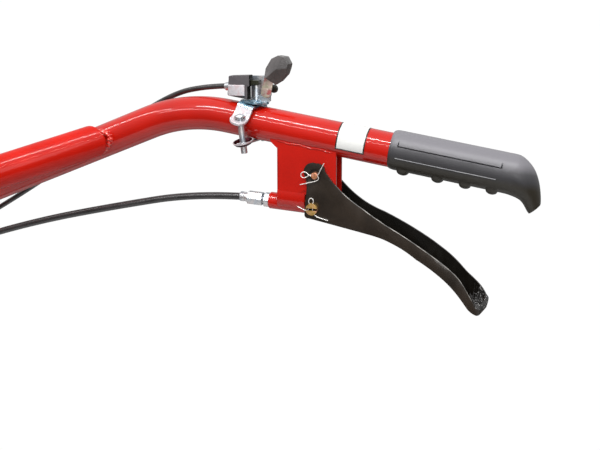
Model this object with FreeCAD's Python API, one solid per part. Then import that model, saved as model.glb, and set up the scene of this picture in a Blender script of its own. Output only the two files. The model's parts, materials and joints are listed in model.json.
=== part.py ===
"""One arm of a garden tiller's handlebar: tube, grip, clutch lever, throttle control and cables.

Frame, millimetres: the origin is the middle of the mounting plate's outer face, where the arm
bolts to the machine.  +X runs towards the grip and the person who holds it, +Z is up and -Y is
the near side, on which the brace tube leaves the arm.
"""
import FreeCAD, Part
import math
import os

Vec = FreeCAD.Vector
EX, EY, EZ = Vec(1, 0, 0), Vec(0, 1, 0), Vec(0, 0, 1)

# --- driving dimensions -------------------------------------------------------------------
TUBE_R = 16.0            # outer radius of both tubes
TUBE_WALL = 2.0
RISE_DEG = 21.7          # slope of the arm from the machine up to the bend
FALL_DEG = 9.6           # slope of the grip section, down towards the person
BEND_X = 416.0           # where the two slopes would meet
BEND_R = 150.0
GRIP_END_X = 731.0       # end of the tube, inside the grip

PLATE_T = 8.0            # mounting plate
PLATE_Y = (-274.0, 32.0)
PLATE_Z = (-30.0, 52.0)
PLATE_CORNER = 12.0      # chamfer
HOLE_R = 5.5
HOLE_SPACING_Y = 140.0
HOLE_SPACING_Z = 48.0

BRACE_START = Vec(324.6, -20.0, 131.6)   # on the brace's axis, beside the arm
BRACE_PLAN_DEG = 35.0    # angle in plan between brace and arm
BRACE_DROP = 0.283       # fall of the brace for each millimetre of plan length
BRACE_REACH = 13.0       # the end's mitre starts this far beyond BRACE_START
BRACE_MITRE_DEG = 30.0   # the closed end is cut back to lie against the arm

SHEET = 3.0              # lever bracket
BRACKET_X = (511.5, 567.5)
BRACKET_HALF_W = 12.0
BRACKET_BOTTOM = 88.0
BRACKET_CORNER_R = 4.0
GUSSET_X = 504.0         # the bracket's top widens to here along the tube
GUSSET_Z = 122.0

PIVOT = Vec(548.0, 0, 107.0)             # clutch lever's hinge pin
PIVOT_R = 6.0            # pin through the bracket, on which the lever turns
PIVOT_HALF_L = 15.6
RUNNING_FIT = 0.06       # radial
CABLE_PIN = Vec(545.5, 0, 75.4)          # pin that the clutch wire pulls on
CABLE_PIN_R = 5.5
CABLE_PIN_HALF_L = 18.5
WIRE_TILT_DEG = 4.5      # the wire falls this much towards the pin

LEVER_T = 2.4
LEVER_HALF_W = 15.2      # outside, at the cheeks
LEVER_MOUTH_X = 570.0    # the web between the lever's cheeks starts here

GRIP_X0 = 614.5          # grip's collar end
GRIP_R = 18.4
GRIP_RAISE = 1.0         # the grip's body sits this much above the tube's axis
GRIP_LENGTH = 119.0
RIB_X = (628.0, 660.0, 685.0, 709.0)
RIB_R = 5.0
RIB_SINK = 2.0           # the rib's centre lies this far inside the grip's underside
RIB_HALF_W = 9.0

CLAMP_X = 475.0          # throttle control's clamp
CLAMP_HALF_L = 8.0
CLAMP_SHEET = 2.5
CLAMP_TAB_Y = 21.0       # centre of the rounded tabs
CLAMP_TAB_Z = -4.0
CLAMP_CORNER_R = (7.0, 4.5)              # outside and inside the strap's bends
CLAMP_BOLT_Y = 23.7
BOLT_R = 3.0             # M6
BOLT_END = -30.0         # below the tube's axis
BOLT_HEAD_R = 5.0
BOLT_HEAD_H = 3.6
BOLT_NUT = (10.0, 5.0)   # across flats and height
PLATFORM_R = 15.0
PLATFORM_T = 2.0
PLATFORM_AT = (13.0, 4.0)
THROTTLE_PIVOT = Vec(498.5, 0, 182.0)
THROTTLE_PIVOT_R = 2.5
PIVOT_SCREW_Y = (-10.5, 19.5)
PIVOT_HEAD = (8.0, 3.4)  # across flats and height
PIVOT_CAP_R = 4.6
PIVOT_CAP_Y = (12.0, 19.5)
WING = (8.5, 1.3)        # half length and half height of the cap's wings
EAR_T = 2.0              # sheet of the ears
EAR_R = 5.5
EAR_Y = (-4.0, 6.0)      # near faces of the two ears
EAR_TOP = 196.5          # of the far ear and its bridge
EAR_FOOT = 168.0         # below the platform's top, where all uprights start
POST_R = 3.0
POST_H = 22.0
KNOB_Y = -7.0            # middle of the lever plate and of its knob

rise = math.radians(RISE_DEG)
fall = math.radians(FALL_DEG)
wire_tilt = math.radians(WIRE_TILT_DEG)
BEND = Vec(BEND_X, 0, BEND_X * math.tan(rise))
UP_ARM = Vec(math.cos(rise), 0, math.sin(rise))
ALONG_GRIP = Vec(math.cos(fall), 0, -math.sin(fall))
WIRE_AXIS = Vec(math.cos(wire_tilt), 0, -math.sin(wire_tilt))   # from the cable to the pin
parts = {}


# --- small builders -----------------------------------------------------------------------
def cylinder(radius, start, axis, length):
    return Part.makeCylinder(radius, length, start, axis)


def hexagon(across_flats, start, axis, length):
    """A hexagonal prism with its corners up and down."""
    corner_r = across_flats / math.sqrt(3.0)
    corners = [Vec(corner_r * math.cos(math.radians(60 * i)),
                   corner_r * math.sin(math.radians(60 * i)), 0) for i in range(7)]
    prism = Part.Face(Part.makePolygon(corners)).extrude(EZ * length)
    prism.Placement = FreeCAD.Placement(start, FreeCAD.Rotation(EZ, axis))
    return prism


def block(x, y, z):
    """A box from three (low, high) pairs."""
    return Part.makeBox(x[1] - x[0], y[1] - y[0], z[1] - z[0], Vec(x[0], y[0], z[0]))


def outline(steps, place):
    """A flat face: a step of two numbers is a straight edge, one of four an arc through a point."""
    first = last = place(*steps[0])
    edges = []
    for step in steps[1:]:
        end = place(*step[-2:])
        if len(step) == 4:
            edges.append(Part.Arc(last, place(*step[:2]), end).toShape())
        else:
            edges.append(Part.LineSegment(last, end).toShape())
        last = end
    if last.distanceToPoint(first) > 1e-6:
        edges.append(Part.LineSegment(last, first).toShape())
    return Part.Face(Part.Wire(edges))


def side_profile(steps, y):
    """An outline in XZ extruded between two Y values."""
    return outline(steps, lambda px, pz: Vec(px, y[0], pz)).extrude(EY * (y[1] - y[0]))


def plan_profile(steps, z):
    """An outline in XY extruded between two Z values."""
    return outline(steps, lambda px, py: Vec(px, py, z[0])).extrude(EZ * (z[1] - z[0]))


def half_space(low, high, third, size=80.0):
    """A large block beyond the plane through three points, on the side of its normal."""
    normal = (high - low).cross(third - low).normalize()
    slab = Part.makeBox(size, size, size, Vec(-size / 2, -size / 2, 0))
    slab.Placement = FreeCAD.Placement(low, FreeCAD.Rotation(EZ, normal))
    return slab


def edges_along(shape, axis, test):
    """Straight edges parallel to an axis whose middle passes the test."""
    found = []
    for edge in shape.Edges:
        straight = isinstance(edge.Curve, Part.Line)
        if straight and abs(edge.tangentAt(edge.FirstParameter).dot(axis)) > 0.999:
            if test(edge.CenterOfMass):
                found.append(edge)
    return found


def rounded_path(points, radii=None):
    """Straight runs joined by tangent arcs; without radii each arc fills its two runs."""
    points = [Vec(*p) for p in points]
    edges = []
    last = points[0]
    used = []
    for i in range(1, len(points) - 1):
        before = points[i] - points[i - 1]
        after = points[i + 1] - points[i]
        u, v = Vec(before).normalize(), Vec(after).normalize()
        half = u.getAngle(v) / 2.0
        if radii:
            radius = radii[i - 1]
        else:
            radius = 0.45 * min(before.Length, after.Length) / math.tan(half)
        used.append(radius)
        back = radius * math.tan(half)
        begin, end = points[i] - u * back, points[i] + v * back
        inward = (v - u).normalize()
        middle = points[i] + inward * (radius / math.cos(half) - radius)
        edges.append(Part.LineSegment(last, begin).toShape())
        edges.append(Part.Arc(begin, middle, end).toShape())
        last = end
    edges.append(Part.LineSegment(last, points[-1]).toShape())
    return Part.Wire(edges), used


def sweep(path, radius):
    """A round bar along a path."""
    first = path.Edges[0]
    start = first.valueAt(first.FirstParameter)
    tangent = first.tangentAt(first.FirstParameter)
    section = Part.Wire(Part.makeCircle(radius, start, tangent))
    return path.makePipeShell([section], True, False)


def cord(name, points, radius):
    """A plain cable; prints its bend radii and compares its volume with section by length."""
    path, radii = rounded_path(points)
    solid = sweep(path, radius)
    expected = math.pi * radius ** 2 * path.Length
    print(name, "length %.1f" % path.Length, "least radius %.0f" % min(radii),
          "volume ratio %.4f" % (solid.Volume / expected))
    print("   radii", [round(r) for r in radii])
    print("   runs", [round((Vec(*b) - Vec(*a)).Length) for a, b in zip(points, points[1:])])
    parts[name] = solid


def on_grip(x):
    """A point on the axis of the grip section."""
    return Vec(x, 0, BEND.z - (x - BEND.x) * math.tan(fall))


def in_grip(shape, x):
    """Moves a shape built along X at the origin onto the grip section's axis."""
    shape.Placement = FreeCAD.Placement(on_grip(x), FreeCAD.Rotation(EY, FALL_DEG))
    return shape


# --- tubes and mounting plate -------------------------------------------------------------
BELOW_PLATE = 12.0
arm_path = rounded_path([UP_ARM * -BELOW_PLATE, BEND, on_grip(GRIP_END_X)], [BEND_R])[0]
arm_core = sweep(arm_path, TUBE_R)
machine_side = block((-60, PLATE_T), (-300, 60), (-80, 80))
parts["handlebar_tube"] = arm_core.cut(sweep(arm_path, TUBE_R - TUBE_WALL)).cut(machine_side)


def brace():
    """The straight brace: closed by a mitred end that lies against the arm."""
    plan = math.radians(BRACE_PLAN_DEG)
    away = Vec(-math.cos(plan), -math.sin(plan), -BRACE_DROP).normalize()
    start = BRACE_START - away * BRACE_REACH
    level = Vec(-away.x, -away.y, 0).normalize()
    tip = start + Vec(-away.y, away.x, 0).normalize() * TUBE_R
    face = FreeCAD.Rotation(EZ, BRACE_MITRE_DEG).multVec(level)
    beyond = Part.makeBox(200, 200, 200, Vec(-100, -100, 0))
    beyond.Placement = FreeCAD.Placement(tip, FreeCAD.Rotation(EZ, face))
    begin = start - away * 40.0
    length = begin.x / -away.x
    bar = cylinder(TUBE_R, begin, away, length).cut(beyond)
    beyond.translate(face * -TUBE_WALL)
    bore = cylinder(TUBE_R - TUBE_WALL, begin, away, length).cut(beyond)
    return bar.cut(bore).cut(machine_side).cut(arm_core)


def mounting_plate():
    """Plate that both tubes are welded to, with four bolt holes between them."""
    plate = block((0, PLATE_T), PLATE_Y, PLATE_Z)
    plate = plate.makeChamfer(PLATE_CORNER, edges_along(plate, EX, lambda c: True))
    middle_y, middle_z = sum(PLATE_Y) / 2.0, sum(PLATE_Z) / 2.0
    for side in (-0.5, 0.5):
        for up in (-0.5, 0.5):
            centre = Vec(-1, middle_y + side * HOLE_SPACING_Y, middle_z + up * HOLE_SPACING_Z)
            plate = plate.cut(cylinder(HOLE_R, centre, EX, PLATE_T + 2))
    return plate


parts["brace_tube"] = brace()
parts["mounting_plate"] = mounting_plate()


# --- lever bracket, cable stop and adjuster -----------------------------------------------
def wire_point(distance):
    """A point on the wire's line, measured from the cable pin back towards the cable."""
    return CABLE_PIN - WIRE_AXIS * distance


STOP_R = 8.0
STOP_SPAN = (12.5, 46.0)         # distances along the wire's line
NUT_SPAN = (46.0, 51.5)
BARREL_SPAN = (51.5, 72.0)
WIRE_START = 66.0
WIRE_R = 1.0
WIRE_BORE_R = 1.6


def lever_bracket():
    """Folded sheet: two side plates joined on the machine side, open towards the grip."""
    x0, x1 = BRACKET_X
    w = BRACKET_HALF_W
    r = BRACKET_CORNER_R
    f = SHEET
    cheek = [(x0, BRACKET_BOTTOM), (x1 - r, BRACKET_BOTTOM),
             (x1 - 0.3 * r, BRACKET_BOTTOM + 0.3 * r, x1, BRACKET_BOTTOM + r), (x1, 150.0),
             (x0, 150.0)]
    fold = [(x1 + 1, -w), (x0 + f, -w), (x0 + 0.3 * f, -w + 0.3 * f, x0, -w + f), (x0, w - f),
            (x0 + 0.3 * f, w - 0.3 * f, x0 + f, w), (x1 + 1, w)]
    shape = side_profile(cheek, (-w, w)).common(plan_profile(fold, (60, 200)))
    shape = shape.cut(block((x0 + f, x1 + 1), (-w + f, w - f), (0, 200)))
    gusset = [(GUSSET_X, GUSSET_Z + 9.0),
              (x0, GUSSET_Z + 3.0, x0 + f + 1.0, GUSSET_Z - 8.0), (x0 + 12.0, GUSSET_Z - 8.0),
              (x0 + 12.0, 149.0), (GUSSET_X, 149.0)]
    for y in ((-w, -w + f), (w - f, w)):
        shape = shape.fuse(side_profile(gusset, y))
    tab = block((x0, x0 + SHEET), (-STOP_R, STOP_R), (wire_point(35.0).z, BRACKET_BOTTOM))
    stop = cylinder(STOP_R, wire_point(STOP_SPAN[1]), WIRE_AXIS, STOP_SPAN[1] - STOP_SPAN[0])
    shape = shape.fuse(tab).fuse(stop)
    shape = shape.cut(cylinder(WIRE_BORE_R, wire_point(80), WIRE_AXIS, 80))
    shape = shape.cut(cylinder(PIVOT_R, PIVOT - EY * 30, EY, 60))
    return shape.cut(arm_core)


def cable_adjuster():
    """Hexagonal head of the hollow adjusting screw, and its lock nut against the stop."""
    head = hexagon(12.0, wire_point(BARREL_SPAN[1]), WIRE_AXIS, BARREL_SPAN[1] - BARREL_SPAN[0])
    nut = hexagon(13.0, wire_point(NUT_SPAN[1]), WIRE_AXIS, NUT_SPAN[1] - NUT_SPAN[0])
    bore = cylinder(WIRE_BORE_R, wire_point(WIRE_START + 1.0), WIRE_AXIS, WIRE_START)
    return head.fuse(nut).cut(bore)


parts["lever_bracket"] = lever_bracket()
parts["lever_pivot_pin"] = cylinder(PIVOT_R, PIVOT - EY * PIVOT_HALF_L, EY, 2 * PIVOT_HALF_L)
parts["cable_adjuster"] = cable_adjuster()
wire = cylinder(WIRE_R, wire_point(WIRE_START), WIRE_AXIS, WIRE_START + 6.0)
nipple = cylinder(3.0, wire_point(-6.0), WIRE_AXIS, 7.0)
parts["clutch_inner_wire"] = wire.fuse(nipple)

# --- clutch lever and its cable pin ---------------------------------------------------------
LEVER_SIDE = [(538.0, 70.0), (540.2, 96.0), (539.2, 105.0), (540.6, 117.2, 549.0, 118.3),
              (554.5, 117.2, 557.5, 111.5), (574.0, 92.0, 608.0, 71.0),
              (637.0, 55.8, 664.0, 38.5), (684.0, 21.5, 700.0, 0.0),
              (703.6, -8.5, 700.0, -14.5), (697.0, -13.4, 692.0, -9.0),
              (672.0, 14.5, 645.0, 33.5), (623.0, 46.5, 600.0, 54.0), (542.0, 66.3),
              (539.0, 67.2, 538.0, 70.0)]
LEVER_SHIFT = Vec(1.3, 0, 2.0)   # moves the side outline inwards from the web, to hollow it


def lever_plan(inset):
    """Plan of the lever: parallel cheeks, swelling to the palm, with a rounded tip."""
    swell = (0.0, 2.6, 4.6, 3.8, 1.3)
    w = [LEVER_HALF_W + more - inset for more in swell]
    return [(530.0, -w[0]), (590.0, -w[0]), (621.0, -w[1], 650.0, -w[2]),
            (672.0, -w[3], 690.0, -w[4]), (704.0 - inset, 0.0, 690.0, w[4]),
            (672.0, w[3], 650.0, w[2]), (621.0, w[1], 590.0, w[0]), (530.0, w[0])]


def clutch_lever():
    """A pressed channel, open towards the grip, whose two cheeks straddle the bracket."""
    body = side_profile(LEVER_SIDE, (-30, 30))
    hollow = body.translated(LEVER_SHIFT)
    lever = body.common(plan_profile(lever_plan(0.0), (-60, 200)))
    lever = lever.cut(hollow.common(plan_profile(lever_plan(LEVER_T), (-60, 200))))
    mouth = LEVER_HALF_W - LEVER_T
    lever = lever.cut(block((520, LEVER_MOUTH_X), (-mouth, mouth), (0, 200)))
    lever = lever.cut(cylinder(PIVOT_R + RUNNING_FIT, PIVOT - EY * 30, EY, 60))
    return lever.cut(cylinder(CABLE_PIN_R, CABLE_PIN - EY * 30, EY, 60))


def cable_pin():
    """Cross pin slotted in its middle for the wire."""
    pin = cylinder(CABLE_PIN_R, CABLE_PIN - EY * CABLE_PIN_HALF_L, EY, 2 * CABLE_PIN_HALF_L)
    x, z = CABLE_PIN.x, CABLE_PIN.z
    return pin.cut(block((x - 8, x + 8), (-1.6, 1.6), (z - 8.0, z + 2.0)))


parts["clutch_lever"] = clutch_lever()
parts["cable_pin"] = cable_pin()

# --- hand grip ----------------------------------------------------------------------------
# the grip's finger stop in side view, and its half widths in plan and seen along the arm
HORN_SIDE = [(724.0, 130.5), (731.8, 129.0), (744.5, 118.0, 750.6, 100.5), (753.0, 90.0, 752.6, 86.2),
             (748.0, 78.6, 741.6, 80.2), (738.5, 85.0, 733.2, 88.6), (726.0, 92.2, 718.5, 92.8),
             (715.0, 112.0)]
HORN_PLAN = [(714.0, -18.4), (726.0, -18.4), (744.0, -15.0, 752.6, -7.0), (755.0, 0.0, 752.6, 7.0),
             (744.0, 15.0, 726.0, 18.4), (714.0, 18.4)]
HORN_FRONT = [(-5.5, 78.6), (-9.0, 86.0, -14.5, 93.0), (-18.4, 100.0, -18.4, 112.0),
              (0.0, 130.5, 18.4, 112.0), (18.4, 100.0, 14.5, 93.0), (9.0, 86.0, 5.5, 78.6)]


def horn():
    """The curved finger stop at the grip's end, from its three outlines."""
    side = side_profile(HORN_SIDE, (-20, 20))
    plan = plan_profile(HORN_PLAN, (70, 140))
    front = outline(HORN_FRONT, lambda py, pz: Vec(700, py, pz)).extrude(EX * 60)
    return side.common(plan).common(front)


def hand_grip():
    """Rubber grip with four finger ribs below and a finger stop."""
    middle = Vec(0, 0, GRIP_RAISE)
    body = cylinder(GRIP_R, middle, EX, GRIP_LENGTH)
    for x in RIB_X:
        at = (x - GRIP_X0) / math.cos(fall)
        rib = cylinder(RIB_R, Vec(at, -RIB_HALF_W, GRIP_RAISE - GRIP_R + RIB_SINK), EY,
                       2 * RIB_HALF_W)
        body = body.fuse(rib)
    body = in_grip(body, GRIP_X0).fuse(horn())
    bore = cylinder(TUBE_R, on_grip(600.0), ALONG_GRIP, (GRIP_END_X - 600.0) / math.cos(fall))
    return body.cut(bore)


parts["hand_grip"] = hand_grip()


# --- throttle control ---------------------------------------------------------------------
def tab_pair(z, y_inner, thickness):
    """Two tabs across the tube with round ends that carry the clamp bolts."""
    shape = None
    for side in (-1, 1):
        centre = Vec(0, side * CLAMP_TAB_Y, z)
        tab = cylinder(CLAMP_HALF_L, centre, EZ, thickness).fuse(
            block((-CLAMP_HALF_L, CLAMP_HALF_L), sorted((side * y_inner, side * CLAMP_TAB_Y)),
                  (z, z + thickness)))
        shape = tab if shape is None else shape.fuse(tab)
    if y_inner > 0:
        shape = shape.cut(block((-20, 20), (-y_inner, y_inner), (z - 1, z + thickness + 1)))
    return shape


def clamp_strap():
    """A bridge of sheet over the tube with a tab on each side."""
    outer = TUBE_R + CLAMP_SHEET
    strap = block((-CLAMP_HALF_L, CLAMP_HALF_L), (-outer, outer), (CLAMP_TAB_Z, outer))
    strap = strap.makeFillet(CLAMP_CORNER_R[0], edges_along(strap, EX, lambda c: c.z > 0))
    inner = block((-20, 20), (-TUBE_R, TUBE_R), (-30, TUBE_R))
    inner = inner.makeFillet(CLAMP_CORNER_R[1], edges_along(inner, EX, lambda c: c.z > 0))
    return strap.cut(inner).fuse(tab_pair(CLAMP_TAB_Z, TUBE_R, CLAMP_SHEET))


def clamp_bolt(side):
    """A round-headed M6 bolt with its nut."""
    at = Vec(0, side * CLAMP_BOLT_Y, 0)
    seat = CLAMP_TAB_Z + CLAMP_SHEET
    across, height = BOLT_NUT
    head = cylinder(BOLT_HEAD_R, at + EZ * seat, EZ, BOLT_HEAD_H)
    shank = cylinder(BOLT_R, at + EZ * BOLT_END, EZ, seat - BOLT_END)
    nut = hexagon(across, at - EZ * (TUBE_R + CLAMP_SHEET + height), EZ, height)
    return head.fuse(shank).fuse(nut)


def throttle_clamp():
    """Strap, the bar below the tube, and the two bolts that pull them together."""
    clamp = clamp_strap().fuse(tab_pair(-TUBE_R - CLAMP_SHEET, 0.0, CLAMP_SHEET))
    return in_grip(clamp.fuse(clamp_bolt(-1)).fuse(clamp_bolt(1)), CLAMP_X)


parts["throttle_clamp"] = throttle_clamp()

SLAB_Z = (TUBE_R + CLAMP_SHEET, TUBE_R + CLAMP_SHEET + PLATFORM_T)   # above the tube's axis
below_platform = in_grip(block((-80, 80), (-60, 60), (-40, SLAB_Z[1])), CLAMP_X)


def throttle_base():
    """Round platform with two ears that carry the pivot screw, its cap and a cable post."""
    x, y = PLATFORM_AT
    disc = cylinder(PLATFORM_R, Vec(x, y, SLAB_Z[0]), EZ, SLAB_Z[1] - SLAB_Z[0])
    base = in_grip(disc, CLAMP_X)
    px, pz = THROTTLE_PIVOT.x, THROTTLE_PIVOT.z
    right = px + EAR_R
    near_ear = side_profile([(px - 8.5, EAR_FOOT), (right, EAR_FOOT), (right, pz),
                             (px, pz + EAR_R, px - EAR_R, pz), (px - 8.5, pz - 4.0)],
                            (EAR_Y[0], EAR_Y[0] + EAR_T))
    far_ear = side_profile([(px - 19.0, EAR_FOOT), (right, EAR_FOOT), (right, pz),
                            (right, EAR_TOP - 2.0, px - 5.0, EAR_TOP), (px - 19.0, EAR_TOP)],
                           (EAR_Y[1], EAR_Y[1] + EAR_T))
    bridge = block((px - 19.0, px - 5.0), (EAR_Y[1], EAR_Y[1] + 8.0), (EAR_TOP - EAR_T, EAR_TOP))
    uprights = near_ear.fuse(far_ear).cut(below_platform)
    post = cylinder(POST_R, Vec(px - 11.7, 0, EAR_FOOT), EZ, POST_H).cut(below_platform)
    screw = cylinder(THROTTLE_PIVOT_R, THROTTLE_PIVOT + EY * PIVOT_SCREW_Y[0], EY,
                     PIVOT_SCREW_Y[1] - PIVOT_SCREW_Y[0])
    across, height = PIVOT_HEAD
    head = hexagon(across, THROTTLE_PIVOT + EY * (KNOB_Y - 1.2 - height), EY, height)
    cap = cylinder(PIVOT_CAP_R, THROTTLE_PIVOT + EY * PIVOT_CAP_Y[0], EY,
                   PIVOT_CAP_Y[1] - PIVOT_CAP_Y[0])
    wing = block((px - WING[0], px + WING[0]), (14.0, 17.0), (pz - WING[1], pz + WING[1]))
    for piece in (uprights, bridge, post, screw, head, cap, wing):
        base = base.fuse(piece)
    return base


HOUSING_SIDE = [(464.0, 197.2), (482.8, 198.0), (483.0, 187.5), (481.0, 187.5), (481.0, 168.0),
                (466.0, 168.0), (466.0, 174.6), (462.3, 177.2, 461.5, 182.0), (462.6, 195.0),
                (463.0, 196.8, 464.0, 197.2)]
HOUSING_Y = (-10.0, 1.0)
CLIP_T = 2.0
THROTTLE_START = Vec(463.5, -4.5, 187.4)      # the cable ends inside the housing


def throttle_clip():
    """Zinc clip on the housing's near face with a foot on the platform."""
    near = HOUSING_Y[0] - CLIP_T
    plate = block((462.7, 478.7), (near, HOUSING_Y[0]), (178.6, 188.8))
    foot = block((469.0, 478.0), (near, HOUSING_Y[0]), (EAR_FOOT, 179.0))
    return plate.fuse(foot.cut(below_platform))


KNOB_SIDE = [(511.7, 216.5), (504.2, 213.3), (498.5, 204.4), (497.8, 196.6), (508.3, 189.2),
             (514.8, 193.2), (520.0, 199.4), (522.1, 208.7), (518.5, 215.3)]
KNOB_HALF_W = 8.0


def throttle_knob():
    """Faceted knob: sloping faces on the machine side and below, alike near and far."""
    knob = side_profile(KNOB_SIDE, (KNOB_Y - KNOB_HALF_W, KNOB_Y + KNOB_HALF_W))
    for side in (-1, 1):
        y_face = KNOB_Y + side * KNOB_HALF_W
        y_rim = KNOB_Y + side * 1.5
        corner, top = Vec(510.4, y_face, 203.7), Vec(516.3, y_face, 214.1)
        right = Vec(521.7, y_face, 204.6)
        for a, b, rim in ((corner, top, Vec(498.5, y_rim, 204.4)),
                          (corner, right, Vec(508.3, y_rim, 189.2))):
            order = (a, b, rim)
            away = (b - a).cross(rim - a)
            if away.dot(EY * side) < 0:
                order = (b, a, rim)
            knob = knob.cut(half_space(*order))
    return knob.cut(parts["throttle_arm"])


ARM_T = 2.0


def throttle_arm():
    """Plate that turns on the pivot screw and carries the knob."""
    px, pz = THROTTLE_PIVOT.x, THROTTLE_PIVOT.z
    plate = side_profile([(px + 5.0, pz), (px + 8.0, 197.0), (px + 5.0, 203.0), (px, 200.0),
                          (px - 5.0, pz), (px, pz - 5.0, px + 5.0, pz)],
                         (KNOB_Y - ARM_T / 2, KNOB_Y + ARM_T / 2))
    return plate.cut(cylinder(THROTTLE_PIVOT_R + RUNNING_FIT, THROTTLE_PIVOT - EY * 20, EY, 60))


parts["throttle_base"] = throttle_base()
housing = side_profile(HOUSING_SIDE, HOUSING_Y)
parts["throttle_housing"] = housing.cut(below_platform).cut(parts["throttle_base"])
parts["throttle_clip"] = throttle_clip()
parts["throttle_arm"] = throttle_arm()
parts["throttle_knob"] = throttle_knob()

# --- cables and the anchor at the machine end -----------------------------------------------
ANCHOR_X = (60.0, 63.0)
CLUTCH_EXIT = Vec(60.0, 0.0, -24.0)
THROTTLE_EXIT = Vec(60.0, 30.0, -14.0)
CLUTCH_ROUTE = [(421.0, 0, 81.2), (340.0, 0, 65.2), (252.0, 0, 45.5), (160.0, 0, 17.5)]
THROTTLE_ROUTE = [(395.0, 13.0, 176.0), (333.0, 28.0, 143.0), (270.0, 33.0, 103.0),
                  (206.0, 33.0, 63.0), (141.0, 31.5, 25.5)]
CLUTCH_CABLE_R = 3.5
THROTTLE_CABLE_R = 2.6
END_L = 8.5              # ferrule at the machine end of each cable


def cable_anchor():
    """Sheet tab below the arm that holds both cables' lower ferrules."""
    plate = block(ANCHOR_X, (-12.0, 42.0), (-36.0, 20.0))
    plate = plate.cut(block((0, 100), (16.0, 60.0), (4.0, 60.0)))
    return plate.cut(arm_core)


anchor = cable_anchor()
for name, radius, begin, exit_point, route in (
        ("clutch", CLUTCH_CABLE_R, wire_point(BARREL_SPAN[1]), CLUTCH_EXIT, CLUTCH_ROUTE),
        ("throttle", THROTTLE_CABLE_R, THROTTLE_START, THROTTLE_EXIT, THROTTLE_ROUTE)):
    direction = (exit_point - Vec(*route[-1])).normalize()
    end_start = exit_point - direction * 10.0
    anchor = anchor.fuse(cylinder(radius + 1.2, end_start, direction, END_L))
    cord(name + "_cable", [begin] + route + [end_start], radius)
parts["cable_anchor"] = anchor

# --- write ----------------------------------------------------------------------------------
os.makedirs("parts", exist_ok=True)
for name, shape in parts.items():
    shape = shape.removeSplitter()
    solids = shape.Solids
    if not shape.isValid() or len(solids) != 1:
        print("PROBLEM", name, shape.isValid(), [round(s.Volume) for s in solids])
    if len(solids) == 1:
        shape = solids[0]
    shape.exportStep("parts/%s.step" % name)
print(len(parts), "parts")
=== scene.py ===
"""Looks of a garden tiller's handlebar arm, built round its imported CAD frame."""
import json
import math

import bmesh
import bpy
from bpy.props import FloatProperty, FloatVectorProperty, PointerProperty
from mathutils import Matrix, Vector


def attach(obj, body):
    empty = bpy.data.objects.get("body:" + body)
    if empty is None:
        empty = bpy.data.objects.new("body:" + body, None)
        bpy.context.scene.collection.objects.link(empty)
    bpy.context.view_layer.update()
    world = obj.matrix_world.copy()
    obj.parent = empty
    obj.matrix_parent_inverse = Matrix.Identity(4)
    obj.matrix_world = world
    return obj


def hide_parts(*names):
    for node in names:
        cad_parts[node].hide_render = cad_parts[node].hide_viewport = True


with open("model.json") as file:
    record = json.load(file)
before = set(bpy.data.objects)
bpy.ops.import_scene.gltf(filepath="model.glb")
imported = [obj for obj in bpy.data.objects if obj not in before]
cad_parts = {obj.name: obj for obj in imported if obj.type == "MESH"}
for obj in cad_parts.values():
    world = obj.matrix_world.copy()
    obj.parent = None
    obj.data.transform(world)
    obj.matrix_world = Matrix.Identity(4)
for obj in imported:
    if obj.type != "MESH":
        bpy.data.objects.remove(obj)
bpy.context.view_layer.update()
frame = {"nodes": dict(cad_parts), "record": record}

bl_info = {
    "name": "Tiller Handlebar Arm",
    "version": (1, 0, 0),
    "blender": (4, 5, 0),
    "location": "3D View > Sidebar > Handlebar",
    "description": "Enamelled tube arm with grip, clutch lever and throttle control",
    "category": "Object",
}

MM = 0.001
NODES = frame["nodes"]

# --- sizes shared with the CAD source, in millimetres ------------------------------------------
TUBE_R = 16.0
RISE = math.radians(21.7)             # slope of the arm up from the machine
FALL = math.radians(9.6)              # slope of the grip section down to the person
BEND_R = 150.0
BEND = Vector((416.0, 0, 416.0 * math.tan(RISE)))
UP_ARM = Vector((math.cos(RISE), 0, math.sin(RISE)))
PLATE_T = 8.0
BRACE_START = Vector((324.6, -20.0, 131.6))
BRACE_TURN = math.radians(35.0)       # away from the arm, seen from above
BRACE_AWAY = Vector((-math.cos(BRACE_TURN), -math.sin(BRACE_TURN), -0.283)).normalized()
BRACE_REACH = 11.8
BRACE_MITRE = math.radians(30.0)
BRACE_LEAN = 0.22                     # how far the mitred end leans back: run over rise
BRACKET_X = (511.5, 567.5)
BRACKET_HALF_W = 12.0
BRACKET_BOTTOM = 88.0
PIVOT = Vector((548.0, 0, 107.0))
CABLE_PIN = Vector((545.5, 0, 75.4))
WIRE_TILT = math.radians(4.5)
WIRE_BACK = Vector((-math.cos(WIRE_TILT), 0, math.sin(WIRE_TILT)))   # from pin to cable
GRIP_X0 = 614.5
GRIP_R = 18.4
CLAMP_X = 475.0
CLAMP_HALF_L = 8.0
CLAMP_BOLT_Y = 23.7
THROTTLE_PIVOT = Vector((498.5, 0, 182.0))
CLUTCH_ROUTE = [(421.0, 0, 81.2), (340.0, 0, 65.2), (252.0, 0, 45.5), (160.0, 0, 17.5)]
THROTTLE_ROUTE = [(436.0, 2.0, 186.2), (395.0, 13.0, 177.0), (333.0, 28.0, 142.0),
                  (270.0, 33.0, 103.0), (206.0, 33.0, 63.0), (141.0, 31.5, 25.5)]
THROTTLE_START = Vector((463.5, -4.5, 187.4))
CLUTCH_EXIT = Vector((60.0, 0.0, -24.0))
THROTTLE_EXIT = Vector((60.0, 30.0, -14.0))
CLUTCH_CABLE_R = 3.5
THROTTLE_CABLE_R = 2.6
CABLE_END_BACK = 10.0                 # the cables end this far before the anchor's middle
SIDES = (("near", -1), ("far", 1))    # the side towards -Y and the side towards +Y


# --- colours and nodes ----------------------------------------------------------------------
def linear(colour):
    """An sRGB hex colour as the linear values that a shader takes."""
    channels = [int(colour[i:i + 2], 16) / 255.0 for i in (1, 3, 5)]
    return tuple(c / 12.92 if c <= 0.04045 else ((c + 0.055) / 1.055) ** 2.4
                 for c in channels) + (1.0,)


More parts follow.
